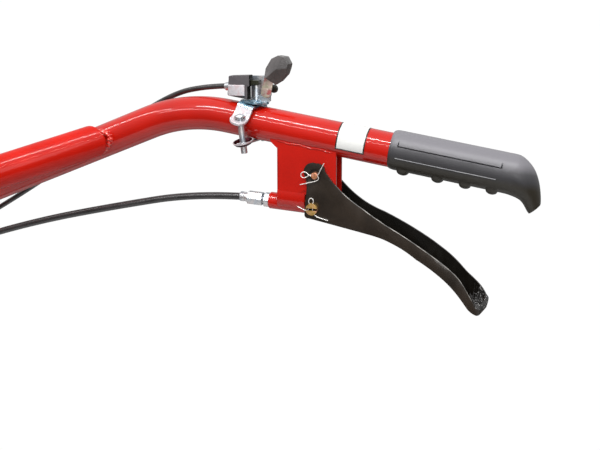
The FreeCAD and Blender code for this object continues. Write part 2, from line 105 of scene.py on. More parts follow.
def add_node(material, kind, links=(), stops=(), **settings):
    """Adds a node; settings name its properties or sockets, stops are a ramp's colours."""
    node = material.node_tree.nodes.new(kind)
    for name, value in settings.items():
        if hasattr(node, name):
            setattr(node, name, value)
        else:
            node.inputs[name.replace("_", " ")].default_value = value
    for socket, source in links:
        material.node_tree.links.new(source, node.inputs[socket])
    for number, (position, colour) in enumerate(stops):
        if number >= len(node.color_ramp.elements):
            node.color_ramp.elements.new(position)
        node.color_ramp.elements[number].position = position
        node.color_ramp.elements[number].color = (linear(colour) if isinstance(colour, str)
                                                  else colour)
    return node


def new_material(name, **surface):
    """A material with its Principled shader, whose sockets take the given constants."""
    material = bpy.data.materials.new(name)
    material.use_nodes = True
    material.node_tree.nodes.clear()
    shader = add_node(material, "ShaderNodeBsdfPrincipled")
    for socket, value in surface.items():
        shader.inputs[socket.replace("_", " ")].default_value = value
    add_node(material, "ShaderNodeOutputMaterial", [("Surface", shader.outputs["BSDF"])])
    place = add_node(material, "ShaderNodeTexCoord").outputs["Object"]
    return material, shader, place


def shade_of(colour, share):
    """A colour from the settings, made darker or lighter, as a ramp's colour."""
    return tuple(min(1.0, channel * share) for channel in colour[:3]) + (1.0,)


def per_mm(size):
    """A texture's scale, at which a noise's features are this many millimetres across."""
    return 1000.0 / size


def mottled(material, place, patch_mm, detail, stops, **settings):
    """Colour in soft patches: the noise that lays them out and the ramp that colours them."""
    patches = add_node(material, "ShaderNodeTexNoise", [("Vector", place)],
                       Scale=per_mm(patch_mm), Detail=detail, **settings)
    return patches, add_node(material, "ShaderNodeValToRGB", [("Fac", patches.outputs["Fac"])],
                             stops)


def grained(material, place, grain_mm, detail, strength, depth_mm):
    """Relief of waves or grains of one size."""
    grain = add_node(material, "ShaderNodeTexNoise", [("Vector", place)],
                     Scale=per_mm(grain_mm), Detail=detail)
    return add_node(material, "ShaderNodeBump", [("Height", grain.outputs["Fac"])],
                    Strength=strength, Distance=depth_mm * MM)


def dressed(material, shader, shade, relief=None, gloss=None, coated=False):
    """Links a surface's colour, relief and roughness to its shader, and its relief to a coat."""
    link = material.node_tree.links.new
    link(shade.outputs["Color"], shader.inputs["Base Color"])
    if gloss:
        link(gloss.outputs["Result"], shader.inputs["Roughness"])
    if relief:
        link(relief.outputs["Normal"], shader.inputs["Normal"])
    if coated:
        link(relief.outputs["Normal"], shader.inputs["Coat Normal"])
    return material


def enamel(name, deep, bright, **film):
    """Sprayed enamel: the shade drifts a little and the wet film keeps a slight orange peel."""
    film = {"Coat_Weight": 0.85, "Coat_Roughness": 0.035, **film}
    material, shader, place = new_material(name, Roughness=0.35, Specular_IOR_Level=0.1,
                                           **film)
    shade = mottled(material, place, 45.0, 3.0, [(0.35, deep), (0.65, bright)])[1]
    # orange peel is about 1.5 mm across, drawn at 3 mm so that it shows at arm's length
    peel = grained(material, place, 3.0, 1.0, 0.1, 0.4)
    # dust nibs caught in the film: rare, drawn up to 2 mm across so that they show
    nibs = add_node(material, "ShaderNodeTexVoronoi", [("Vector", place)], Scale=per_mm(14.0))
    speck = add_node(material, "ShaderNodeMapRange", [("Value", nibs.outputs["Distance"])],
                     From_Min=0.0, From_Max=0.07, To_Min=1.0, To_Max=0.0)
    grit = add_node(material, "ShaderNodeBump", [("Height", speck.outputs["Result"]),
                                                 ("Normal", peel.outputs["Normal"])],
                    Strength=0.25, Distance=0.3 * MM)
    return dressed(material, shader, shade, grit, coated=True)


def red_enamel():
    """Gloss enamel baked on the steel tubes: deep even red under a clear wet shine."""
    red = bpy.context.scene.handlebar.enamel_colour
    return enamel("baked_red_enamel", shade_of(red, 0.85), shade_of(red, 1.0))


def brace_enamel():
    """The same enamel on the brace with a weaker shine, its red made lighter as painted light."""
    red = bpy.context.scene.handlebar.enamel_colour
    return enamel("baked_red_enamel_painted_light", shade_of(red, 0.95), shade_of(red, 1.12),
                  Coat_Weight=0.28, Coat_Roughness=0.05)


def red_weld():
    """Weld metal under the same red enamel, rippled and pitted, with glints painted as pale pink
    and white points.
    """
    material, shader, place = new_material("weld_metal_painted_glints", Roughness=0.3,
                                           Specular_IOR_Level=0.1, Coat_Weight=1.0,
                                           Coat_Roughness=0.06)
    lumps_and_glints, shade = mottled(material, place, 3.5, 4.0,
                           [(0.38, "#A5120C"), (0.52, "#D4281C"), (0.62, "#EE7A70"),
                            (0.7, "#FBE9E7")])
    relief = add_node(material, "ShaderNodeBump", [("Height", lumps_and_glints.outputs["Fac"])],
                      Strength=1.0, Distance=1.2 * MM)
    return dressed(material, shader, shade, relief, coated=True)


def black_enamel():
    """Thin gloss black on pressed steel: brown-black, its shine broken by the sheet's waviness."""
    material, shader, place = new_material("baked_black_enamel", Specular_IOR_Level=0.25,
                                           Coat_Weight=0.7, Coat_Roughness=0.08)
    black = bpy.context.scene.handlebar.lever_colour
    drift, shade = mottled(material, place, 22.0, 4.0,
                           [(0.3, shade_of(black, 0.6)), (0.7, shade_of(black, 1.25))])
    gloss = add_node(material, "ShaderNodeMapRange", [("Value", drift.outputs["Fac"])],
                     To_Min=0.28, To_Max=0.42)
    # waves of the rolled sheet, some 6 mm long
    waves = grained(material, place, 6.0, 2.0, 0.2, 0.8)
    return dressed(material, shader, shade, waves, gloss, coated=True)


def pooled_enamel_glints():
    """Black enamel pooled and blistered in the lever's spoon, with many small painted glints."""
    material, shader, place = new_material("blistered_enamel_painted_glints", Roughness=0.3,
                                           Coat_Weight=1.0, Coat_Roughness=0.05)
    blisters, shade = mottled(material, place, 1.8, 3.0,
                              [(0.52, "#0E0C0A"), (0.6, "#3A3836"), (0.72, "#B9B8B8")])
    relief = add_node(material, "ShaderNodeBump", [("Height", blisters.outputs["Fac"])],
                      Strength=0.6, Distance=1.0 * MM)
    return dressed(material, shader, shade, relief, coated=True)


def rim_highlight():
    """The sheared rim of the lever, coloured as a fine bright line of painted highlight."""
    material, shader, place = new_material("lever_rim_painted_highlight", Roughness=0.35, Coat_Weight=1.0,
                                           Coat_Roughness=0.1)
    shade = mottled(material, place, 9.0, 3.0,
                    [(0.4, "#4A4742"), (0.55, "#A39E96"), (0.7, "#CFCBC4")])[1]
    return dressed(material, shader, shade)


def moulded(name, low, high, roughness, grain_mm, strength, **surface):
    """Moulded rubber or plastic: an eroded mould face leaves a fine grain and slight patches."""
    material, shader, place = new_material(name, **surface)
    patches, shade = mottled(material, place, 18.0, 5.0, [(0.3, low), (0.7, high)])
    gloss = add_node(material, "ShaderNodeMapRange", [("Value", patches.outputs["Fac"])],
                     To_Min=roughness - 0.07, To_Max=roughness + 0.07)
    grain = grained(material, place, grain_mm, 2.0, strength, 0.4)
    return dressed(material, shader, shade, grain, gloss)


def plated(name, stops, patch_mm, rough, relief=0.12, metallic=1.0):
    """Zinc plate on steel: the passivated film is tinted in patches and faintly brushed."""
    material, shader, place = new_material(name, Metallic=metallic)
    patches, tint = mottled(material, place, patch_mm, 3.0, stops, Distortion=0.6)
    haze = add_node(material, "ShaderNodeMapRange", [("Value", patches.outputs["Fac"])],
                    To_Min=rough - 0.08, To_Max=rough + 0.1)
    # rolling marks: fine in one direction, drawn 0.8 mm apart
    stretch = add_node(material, "ShaderNodeMapping", [("Vector", place)],
                       Scale=(0.15, 1.0, 1.0))
    brushed = grained(material, stretch.outputs["Vector"], 0.8, 2.0, relief, 0.2)
    return dressed(material, shader, tint, brushed, haze)


def grip_rubber():
    """Moulded soft rubber with painted light and shade: lighter blue-grey on top, dark brown
    below.
    """
    material, shader, place = new_material("grip_rubber_painted_light_and_shade", Sheen_Weight=0.05,
                                           Sheen_Roughness=0.4)
    link = material.node_tree.links.new
    rubber = bpy.context.scene.handlebar.grip_colour
    level = add_node(material, "ShaderNodeMapping", [("Vector", place)],
                     Location=(-GRIP_X0 * MM, 0, -on_grip(GRIP_X0).z * MM))
    height = add_node(material, "ShaderNodeMapping", [("Vector", level.outputs["Vector"])],
                      Rotation=(0, -FALL, 0))
    split = add_node(material, "ShaderNodeSeparateXYZ", [("Vector", height.outputs["Vector"])])
    patches = add_node(material, "ShaderNodeTexNoise", [("Vector", place)],
                       Scale=per_mm(14.0), Detail=5.0)
    # the height over the grip's axis sets the painted light and shade, and patches shift it by up
    # to 5 mm
    light_height = add_node(material, "ShaderNodeMath", operation="MULTIPLY_ADD")
    link(patches.outputs["Fac"], light_height.inputs[0])
    light_height.inputs[1].default_value = 5.0 * MM
    link(split.outputs["Z"], light_height.inputs[2])
    painted_light_share = add_node(material, "ShaderNodeMapRange", [("Value", light_height.outputs["Value"])],
                      From_Min=-GRIP_R * MM, From_Max=GRIP_R * MM)
    # painted shade in dark brown below the axis, painted light in pale blue-grey on top
    shade = add_node(material, "ShaderNodeValToRGB", [("Fac", painted_light_share.outputs["Result"])],
                     [(0.34, "#2B261D"), (0.52, shade_of(rubber, 0.72)),
                      (0.7, shade_of(rubber, 1.05)), (0.8, shade_of(rubber, 2.3)),
                      (0.92, shade_of(rubber, 3.3))])
    gloss = add_node(material, "ShaderNodeMapRange", [("Value", patches.outputs["Fac"])],
                     To_Min=0.34, To_Max=0.48)
    pits = grained(material, place, 0.9, 2.0, 0.22, 0.4)
    return dressed(material, shader, shade, pits, gloss)


def cable_jacket():
    """Extruded PVC over a wound conduit: black, waxy, with faint rings of the winding."""
    material, shader, place = new_material("extruded_pvc_jacket", Coat_Weight=0.6,
                                           Coat_Roughness=0.22)
    dirt, shade = mottled(material, place, 12.0, 4.0, [(0.35, "#1D1B1C"), (0.7, "#302D2E")])
    gloss = add_node(material, "ShaderNodeMapRange", [("Value", dirt.outputs["Fac"])],
                     To_Min=0.3, To_Max=0.5)
    # the winding's rings are some 2 mm apart, drawn about 9 mm apart so that they show
    rings = add_node(material, "ShaderNodeTexWave", [("Vector", place)], Scale=per_mm(30.0),
                     bands_direction="X", Distortion=0.5)
    relief = add_node(material, "ShaderNodeBump", [("Height", rings.outputs["Fac"])],
                      Strength=0.08, Distance=0.2 * MM)
    return dressed(material, shader, shade, relief, gloss)


def steel_wire():
    """Stranded galvanised steel wire: grey, its lay shown as fine slanting bands."""
    material, shader, place = new_material("galvanised_steel_strand", Metallic=1.0,
                                           Roughness=0.4)
    # one band for each 5 mm along the wire, coarser than a real lay so that it shows
    lay = add_node(material, "ShaderNodeTexWave", [("Vector", place)], Scale=per_mm(8.0),
                   bands_direction="DIAGONAL")
    shade = add_node(material, "ShaderNodeValToRGB", [("Fac", lay.outputs["Fac"])],
                     [(0.2, "#6E7072"), (0.7, "#A9ABAD")])
    relief = add_node(material, "ShaderNodeBump", [("Height", lay.outputs["Fac"])],
                      Strength=0.5, Distance=0.2 * MM)
    return dressed(material, shader, shade, relief)


COATINGS = {
    "red_enamel": red_enamel, "brace_enamel": brace_enamel, "red_weld": red_weld,
    "black_enamel": black_enamel, "pooled_enamel_glints": pooled_enamel_glints, "rim_highlight": rim_highlight,
    "grip_rubber": grip_rubber, "cable_jacket": cable_jacket, "steel_wire": steel_wire,
}
MOULDINGS = {
    # the thin parting line of the grip, coloured pale as a painted highlight
    "flash_highlight": dict(name="rubber_flash_painted_highlight", low="#85858A", high="#A0A0A2",
                       roughness=0.5, grain_mm=0.9, strength=0.1),
    # the grip's narrow groove, coloured dark as painted shade
    "groove_shade": dict(name="rubber_groove_painted_shade", low="#161517", high="#222022",
                        roughness=0.6, grain_mm=0.9, strength=0.1, Specular_IOR_Level=0.2),
    # painted shade: near-black enamel in the lever's channel, the pin's slot and the housing's
    # side face, less shiny
    "painted_shade_black": dict(name="black_enamel_painted_shade", low="#090705", high="#110E0A",
                        roughness=0.4, grain_mm=1.6, strength=0.2, Specular_IOR_Level=0.08),
    # moulded ABS of the control's housing: dark brown-grey, near smooth
    "black_plastic": dict(name="moulded_abs", low="#4C484B", high="#585356",
                          roughness=0.42, grain_mm=1.0, strength=0.15),
    # smooth olive-black nylon of the control's cap nut and cable slide
    "olive_plastic": dict(name="moulded_nylon", low="#1B1C10", high="#2C2B1C",
                          roughness=0.35, grain_mm=1.4, strength=0.1),
    # coarsely eroded ABS of the knob, dusty grey-brown
    "knob_plastic": dict(name="eroded_abs", low="#484545", high="#686464",
                         roughness=0.55, grain_mm=1.3, strength=0.8),
    # the knob's upper facets: the eroded ABS coloured lighter as painted light
    "knob_painted_light": dict(name="eroded_abs_painted_light", low="#5E5C5C", high="#8A8887",
                       roughness=0.6, grain_mm=1.1, strength=0.9),
    # the knob's lower facets, coloured darker brown as painted shade
    "knob_painted_shade": dict(name="eroded_abs_painted_shade", low="#3E3735", high="#544B48",
                      roughness=0.5, grain_mm=1.1, strength=0.8),
    # blank white vinyl label under a clear gloss film, with a very slight weave of the web
    "label_film": dict(name="white_vinyl_film", low="#D9D9D6", high="#E6E6E3",
                       roughness=0.3, grain_mm=1.5, strength=0.04),
    # black printed border of the blank label
    "label_ink": dict(name="printed_black_border", low="#16130F", high="#241F1A",
                      roughness=0.35, grain_mm=1.5, strength=0.04),
}
PLATINGS = {
    # bright zinc plate: pale, with faint blue and rose passivation
    "bright_zinc": dict(name="bright_zinc_plate", patch_mm=9.0, rough=0.42, relief=0.25,
                        stops=[(0.3, "#A9B4C0"), (0.5, "#CFD1D4"), (0.7, "#DCCFCC")]),
    # zinc plate gone chalky: a thin white oxide scatters the light and hides the shine
    "chalky_zinc": dict(name="chalky_zinc_plate", patch_mm=5.0, rough=0.4, metallic=0.35,
                        stops=[(0.3, "#BDB7BE"), (0.5, "#D6D2D6"), (0.7, "#CDB9BC")]),
    # zinc plate of the throttle's lever and base: cream, with rose patches of passivation
    "rose_zinc": dict(name="rose_passivated_zinc", patch_mm=8.0, rough=0.3, metallic=0.7,
                      stops=[(0.35, "#E4D9BE"), (0.5, "#D9BFB4"), (0.62, "#C4716E")]),
    # zinc in the hollows of the cup washers, coloured dark red as painted shade
    "shaded_zinc": dict(name="zinc_plate_painted_shade", patch_mm=6.0, rough=0.4,
                        stops=[(0.3, "#2A1015"), (0.7, "#5A2A32")]),
    # blue-passivated zinc of the strap's top and the platform: a clear steel-blue cast
    "blue_zinc": dict(name="blue_passivated_zinc", patch_mm=9.0, rough=0.25, metallic=0.8,
                      stops=[(0.34, "#3F6F88"), (0.48, "#86A9BC"), (0.6, "#BCCDD6")]),
    # yellow chromate over zinc: brassy gold with pinkish patches
    "yellow_zinc": dict(name="yellow_chromate_zinc", patch_mm=4.0, rough=0.42, metallic=0.8,
                        stops=[(0.3, "#B58A3C"), (0.5, "#D8B06A"), (0.7, "#D49A80")]),
    # iridescent chromate over zinc, gone peach-pink on the hinge pin's turned end
    "rose_chromate": dict(name="rose_chromate_zinc", patch_mm=2.5, rough=0.4, metallic=0.7,
                          stops=[(0.35, "#C07F4C"), (0.6, "#E5A084")]),
    # bright drawn wire of the split pins: nickel-white, lightly polished
    "spring_wire": dict(name="drawn_spring_wire", patch_mm=3.0, rough=0.42, relief=0.02,
                        metallic=0.6, stops=[(0.3, "#E2E0DC"), (0.7, "#F4F1EC")]),
}
# the materials made so far, by their finish's name
made = {}


def finish_of(name):
    """A material by its finish's name, made once."""
    if name not in made:
        if name in MOULDINGS:
            made[name] = moulded(**MOULDINGS[name])
        elif name in PLATINGS:
            made[name] = plated(**PLATINGS[name])
        else:
            made[name] = COATINGS[name]()
    return made[name]


# --- placing -------------------------------------------------------------------------------
def on_grip(x):
    """A point on the axis of the grip section."""
    return Vector((x, 0, BEND.z - (x - BEND.x) * math.tan(FALL)))


def along_grip(x):
    """A frame on the grip section's axis: X along it, Z away from it upwards."""
    return Matrix.Translation(on_grip(x)) @ Matrix.Rotation(FALL, 4, "Y")


def facing(point, direction):
    """A frame at a point whose Z runs along a direction."""
    return Matrix.Translation(point) @ direction.to_track_quat("Z", "Y").to_matrix().to_4x4()


def side_on(y):
    """A frame at a given Y that sets an outline upright in XZ and its height along +Y."""
    return Matrix(((1, 0, 0, 0), (0, 0, 1, y), (0, 1, 0, 0), (0, 0, 0, 1)))


# --- shapes, in millimetres ----------------------------------------------------------------
def verts_of(geometry):
    """The vertices among what a bmesh operator gives back."""
    return [item for item in geometry if isinstance(item, bmesh.types.BMVert)]


def edges_of(geometry):
    """The edges among what a bmesh operator gives back."""
    return [item for item in geometry if isinstance(item, bmesh.types.BMEdge)]


def transformed(shape, place):
    """Moves a whole shape by a matrix."""
    bmesh.ops.transform(shape, matrix=place, verts=shape.verts)
    return shape


def copy_of(node):
    """A CAD node's shape in millimetres, with its triangles merged back into flat faces."""
    shape = bmesh.new()
    shape.from_mesh(NODES[node].data)
    bmesh.ops.scale(shape, vec=(1 / MM, 1 / MM, 1 / MM), verts=shape.verts)
    bmesh.ops.remove_doubles(shape, verts=shape.verts, dist=0.002)
    bmesh.ops.dissolve_limit(shape, angle_limit=math.radians(1.0), verts=shape.verts,
                             edges=shape.edges)
    return shape


def turned(profile, place, steps=40):
    """A body of revolution about Z from (radius, height) pairs that start and end on the axis."""
    shape = bmesh.new()
    points = [shape.verts.new((radius, 0, height)) for radius, height in profile]
    lines = [shape.edges.new(pair) for pair in zip(points, points[1:])]
    bmesh.ops.spin(shape, geom=points + lines, cent=(0, 0, 0), axis=(0, 0, 1),
                   angle=2 * math.pi, steps=steps, use_merge=True)
    bmesh.ops.remove_doubles(shape, verts=shape.verts, dist=0.001)
    bmesh.ops.recalc_face_normals(shape, faces=shape.faces)
    return transformed(shape, place)


def prism(corners, height, place):
    """A flat outline in XY raised along Z."""
    shape = bmesh.new()
    face = shape.faces.new([shape.verts.new((x, y, 0)) for x, y in corners])
    raised = bmesh.ops.extrude_face_region(shape, geom=[face])["geom"]
    bmesh.ops.translate(shape, verts=verts_of(raised), vec=(0, 0, height))
    bmesh.ops.recalc_face_normals(shape, faces=shape.faces)
    return transformed(shape, place)


def sliced(shape, point, outward, cut_away=False):
    """Splits a shape's faces along a plane, may cut away what lies outside, gives the cut."""
    everything = [*shape.verts, *shape.edges, *shape.faces]
    cut = bmesh.ops.bisect_plane(shape, geom=everything, plane_co=point, plane_no=outward,
                                 clear_outer=cut_away)["geom_cut"]
    return edges_of(cut)


def cut_off(shape, point, outward):
    """Cuts away what lies outside a plane and closes the cut."""
    bmesh.ops.holes_fill(shape, edges=sliced(shape, point, outward, cut_away=True))


def hexagon(across_flats, height, place):
    """A hexagonal prism with two corners on its local X axis."""
    radius = across_flats / math.sqrt(3)
    corners = [(radius * math.cos(math.radians(60 * i)), radius * math.sin(math.radians(60 * i)))
               for i in range(6)]
    return prism(corners, height, place)


def skinned(rings, angles):
    """A closed skin through rings: each frame places a unit circle, square to its own X."""
    shape = bmesh.new()
    points = [shape.verts.new((0, math.cos(a), math.sin(a))) for a in angles]
    cap = shape.faces.new(points)
    edges = list(cap.edges)
    bmesh.ops.transform(shape, matrix=rings[0], verts=points)
    for last, ring in zip(rings, rings[1:]):
        grown = bmesh.ops.extrude_edge_only(shape, edges=edges)["geom"]
        points = verts_of(grown)
        edges = [e for e in edges_of(grown) if all(v in points for v in e.verts)]
        bmesh.ops.transform(shape, matrix=ring @ last.inverted(), verts=points)
    bmesh.ops.edgeloop_fill(shape, edges=edges)
    bmesh.ops.recalc_face_normals(shape, faces=shape.faces)
    return shape


def even_angles(count):
    """Angles in radians, spread evenly round a circle."""
    return [2 * math.pi * i / count for i in range(count)]


def eased(rows, steps):
    """Rows of numbers with smooth rows put between them."""
    out = []
    last = len(rows) - 1
    for i in range(last):
        a, b, c, d = (rows[max(i - 1, 0)], rows[i], rows[i + 1], rows[min(i + 2, last)])
        for k in range(steps):
            t = k / steps
            out.append([0.5 * (2 * q + (r - p) * t + (2 * p - 5 * q + 4 * r - s) * t * t
                               + (3 * q - p - 3 * r + s) * t ** 3)
                        for p, q, r, s in zip(a, b, c, d)])
    return out + [list(rows[-1])]


# --- making pieces -------------------------------------------------------------------------
def finished(shape, name, body, finishes, replaces=(), bevel=0.0, segments=3, sharp=32.0):
    """Makes a shape a piece in metres that rides on a body and takes its finishes."""
    bmesh.ops.scale(shape, vec=(MM, MM, MM), verts=shape.verts)
    for face in shape.faces:
        face.smooth = True
    mesh = bpy.data.meshes.new(name)
    shape.to_mesh(mesh)
    shape.free()
    piece = bpy.data.objects.new(name, mesh)
    bpy.context.scene.collection.objects.link(piece)
    for finish in finishes:
        mesh.materials.append(finish_of(finish))
    if bevel:
        soft = piece.modifiers.new("softened_edges", "BEVEL")
        soft.width = bevel * MM
        soft.segments = segments
        soft.limit_method = "ANGLE"
        soft.angle_limit = math.radians(sharp)
        soft.harden_normals = True
        soft.miter_outer = "MITER_ARC"
    else:
        mesh.set_sharp_from_angle(angle=math.radians(sharp))
    declare(piece, body, replaces)


def declare(piece, body, replaces):
    """Hangs a piece on its body's empty and hides the CAD nodes that it stands for."""
    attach(piece, body)
    if replaces:
        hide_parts(*replaces)


def drawn(name, points, radius, body, finish, replaces=(), swells=None):
    """A round wire or bead through points in millimetres, as one NURBS curve."""
    curve = bpy.data.curves.new(name, "CURVE")
    curve.dimensions = "3D"
    curve.bevel_depth = radius * MM
    curve.bevel_resolution = 5
    curve.use_fill_caps = True
    spline = curve.splines.new("NURBS")
    spline.points.add(len(points) - 1)
    for number, (point, place) in enumerate(zip(spline.points, points)):
        point.co = (*(Vector(place) * MM), 1.0)
        if swells:
            point.radius = swells[number]
    spline.order_u = 3
    spline.use_endpoint_u = True
    spline.resolution_u = 12
    piece = bpy.data.objects.new(name, curve)
    bpy.context.scene.collection.objects.link(piece)
    curve.materials.append(finish_of(finish))
    declare(piece, body, replaces)
    return piece


def weld(name, points, radius, finish="red_enamel"):
    """A weld bead: it starts and ends thin, and each freezing ripple swells it a little."""
    count = len(points)
    swells = [(1.0 + 0.16 * math.sin(2.1 * i)) * min(1.0, 0.35 + 0.3 * min(i, count - 1 - i))
              for i in range(count)]
    drawn(name, points, radius, "handlebar", finish, swells=swells)


# --- operators: tubes and welds ------------------------------------------------------------
TUBE_START = -8.0                     # along the arm, before its cut at the plate
TUBE_END_X = 730.0                    # inside the grip
BEND_STEPS = 28
ARM_SIDES = 96
BRACE_SIDES = 72
BRACE_SPARE = (20.0, 60.0)            # beyond the plate and the nose, taken off by the cuts
NOSE_ROUND = 3.2
NOSE_INSET = 2.5                      # from the nose's edge back to its weld
FOOT_POINTS = 56
FOOT_OFF = (0.4, 0.6)                 # a foot's bead off the tube's skin and off the plate
BRACE_BEAD_R = 3.0
BRACKET_BEAD_R = 0.8
PLATE_BEAD_R = 2.4
SEAM_STEP = 1.5
SEAM_INSET = 1.0
# section of the fillet between bracket and cable stop: Y, taken times the side, and height;
# its Y is negative, so each fillet lies opposite the side that its piece is named for
FILLET = [(-11.5, 92.5), (-12.04, 91.0), (-12.04, 84.8), (-11.4, 81.4), (-10.0, 78.2),
          (-8.0, 75.6), (-6.0, 75.6), (-6.0, 92.5)]
FILLET_L = 27.6
PLATE_CUT = ((PLATE_T / 2, 0, 0), (-1, 0, 0))     # the plane inside the mounting plate


def bent_tube_rings():
    """Frames along the arm: up from the machine, round the bend, down into the grip."""
    radius = Matrix.Diagonal((1, TUBE_R, TUBE_R, 1))
    uphill = Matrix.Rotation(-RISE, 4, "Y")
    tangent = BEND_R * math.tan((RISE + FALL) / 2)
    begin = BEND - UP_ARM * tangent
    centre = begin + Vector((math.sin(RISE), 0, -math.cos(RISE))) * BEND_R
    rings = [Matrix.Translation(UP_ARM * TUBE_START) @ uphill @ radius]
    for i in range(BEND_STEPS + 1):
        turn = (RISE + FALL) * i / BEND_STEPS
        place = (Matrix.Translation(centre) @ Matrix.Rotation(turn, 4, "Y")
                 @ Matrix.Translation(begin - centre) @ uphill)
        rings.append(place @ radius)
    rings.append(along_grip(TUBE_END_X) @ radius)
    return rings


class HANDLEBAR_OT_arm_tube(bpy.types.Operator):
    """Makes the bent tube of the arm"""
    bl_idname = "handlebar.arm_tube"
    bl_label = "Arm Tube"

    def execute(self, context):
        shape = skinned(bent_tube_rings(), even_angles(ARM_SIDES))
        cut_off(shape, *PLATE_CUT)
        finished(shape, "arm_tube", "handlebar", ["red_enamel"], ["handlebar_tube"])
        return {"FINISHED"}


def brace_start():
    """The point on the brace's axis from which its mitre is measured."""
    return BRACE_START - BRACE_AWAY * BRACE_REACH


def brace_mitre():
    """A point of the brace's mitred end and the direction that the end faces."""
    level = Vector((-BRACE_AWAY.x, -BRACE_AWAY.y, 0)).normalized()
    tip = brace_start() + Vector((-BRACE_AWAY.y, BRACE_AWAY.x, 0)).normalized() * TUBE_R
    square = Matrix.Rotation(BRACE_MITRE, 3, "Z") @ level
    return tip, (square + Vector((0, 0, BRACE_LEAN))).normalized()


class HANDLEBAR_OT_brace(bpy.types.Operator):
    """Makes the straight brace, whose rounded mitred nose lies against the arm"""
    bl_idname = "handlebar.brace"
    bl_label = "Brace"

    def execute(self, context):
        start = brace_start()
        turn = (BRACE_AWAY * -1).to_track_quat("X", "Z").to_matrix().to_4x4()
        radius = Matrix.Diagonal((1, TUBE_R, TUBE_R, 1))
        far = start + BRACE_AWAY * (start.x / -BRACE_AWAY.x + BRACE_SPARE[0])
        near = start - BRACE_AWAY * BRACE_SPARE[1]
        shape = skinned([Matrix.Translation(end) @ turn @ radius for end in (far, near)],
                        even_angles(BRACE_SIDES))
        cut_off(shape, *brace_mitre())
        cut_off(shape, *PLATE_CUT)
        bmesh.ops.recalc_face_normals(shape, faces=shape.faces)
        finished(shape, "brace", "handlebar", ["brace_enamel"], ["brace_tube"],
                 bevel=NOSE_ROUND, segments=6, sharp=35.0)
        return {"FINISHED"}


def brace_joint(turn):
    """The foot on the arm's skin of the brace's outline, at a turn about the brace's axis."""
    side = Vector((-BRACE_AWAY.y, BRACE_AWAY.x, 0)).normalized()
    up = side.cross(BRACE_AWAY).normalized()
    outward = side * math.cos(turn) + up * math.sin(turn)
    skin = BRACE_START + outward * TUBE_R + BRACE_AWAY * BRACE_SPARE[1]
    toward = -BRACE_AWAY
    # where the line along the brace's skin meets the arm's skin, as a quadratic's first root
    across = toward - UP_ARM * toward.dot(UP_ARM)
    offset = skin - UP_ARM * skin.dot(UP_ARM)
    a = across.dot(across)
    b = 2 * across.dot(offset)
    c = offset.dot(offset) - TUBE_R ** 2
    root = b * b - 4 * a * c
    tip, mitre = brace_mitre()
    reach = (tip - skin).dot(mitre) / toward.dot(mitre)
    meets = None if root < 0 else (-b - math.sqrt(root)) / (2 * a)
    if meets is not None and meets < reach:
        return skin + toward * meets
    rim = skin + toward * (reach - NOSE_INSET)
    on_axis = UP_ARM * rim.dot(UP_ARM)
    return on_axis + (rim - on_axis).normalized() * TUBE_R


def tube_foot(start, direction):
    """The outline of a tube where it enters the mounting plate's inner face."""
    side = Vector((-direction.y, direction.x, 0)).normalized()
    up = direction.cross(side).normalized()
    base = start + direction * ((PLATE_T - start.x) / direction.x)
    out = []
    for i in range(FOOT_POINTS + 1):
        turn = 2 * math.pi * i / FOOT_POINTS
        skin = base + (side * math.cos(turn) + up * math.sin(turn)) * (TUBE_R + FOOT_OFF[0])
        out.append(skin + direction * ((PLATE_T + FOOT_OFF[1] - skin.x) / direction.x))
    return out


def bracket_seam(side):
    """The slightly wavering line on which one side of the bracket is welded to the tube."""
    low = math.sqrt((TUBE_R + 0.3) ** 2 - BRACKET_HALF_W ** 2)
    count = int((BRACKET_X[1] - WEB_X - 2 * SEAM_INSET) / SEAM_STEP) + 1
    seam = []
    for i in range(count):
        wobble = 0.5 * math.sin(0.5 * i) + 0.2 * math.sin(1.3 * i)
        seam.append(along_grip(WEB_X + SEAM_INSET + SEAM_STEP * i)
                    @ Vector((0, side * (BRACKET_HALF_W - 0.1), -low - 0.5 + wobble)))
    return seam


def stop_fillet(side):
    """One side's wide fillet, which runs the bracket's lower edge into the cable stop."""
    tilt = Matrix.Rotation(WIRE_TILT, 4, "Y")
    along_x = Matrix(((0, 0, 1, 0), (1, 0, 0, 0), (0, 1, 0, 0), (0, 0, 0, 1)))
    fillet = prism([(side * y, z) for y, z in FILLET], FILLET_L, tilt @ along_x)
    # the fillet tips with the wire about the web's lower edge
    edge = Vector((0, 0, BRACKET_BOTTOM))
    shift = Vector((WEB_X + 0.4, 0, 0)) + edge - tilt.to_3x3() @ edge
    return transformed(fillet, Matrix.Translation(shift))


class HANDLEBAR_OT_welds(bpy.types.Operator):
    """Lays the weld beads of the brace, the bracket and the mounting plate, and the fillets"""
    bl_idname = "handlebar.welds"
    bl_label = "Welds"

    def execute(self, context):
        weld("brace_weld", [brace_joint(math.radians(a)) for a in range(-180, 181, 6)],
             BRACE_BEAD_R, "red_weld")
        for name, side in SIDES:
            weld("bracket_weld_" + name, bracket_seam(side), BRACKET_BEAD_R)
            finished(stop_fillet(side), "stop_fillet_" + name, "handlebar", ["red_enamel"],
                     bevel=0.8)
        weld("arm_plate_weld", tube_foot(Vector((0, 0, 0)), UP_ARM), PLATE_BEAD_R)
        weld("brace_plate_weld", tube_foot(BRACE_START, BRACE_AWAY), PLATE_BEAD_R)
        return {"FINISHED"}


LABEL_X = (567.8, 595.0)
LABEL_TURN = (-27.0, 118.0)           # degrees up from the near side's middle, over the top
LABEL_LIFT = 0.12
LABEL_FACES = (8, 48)                 # along the tube, round it


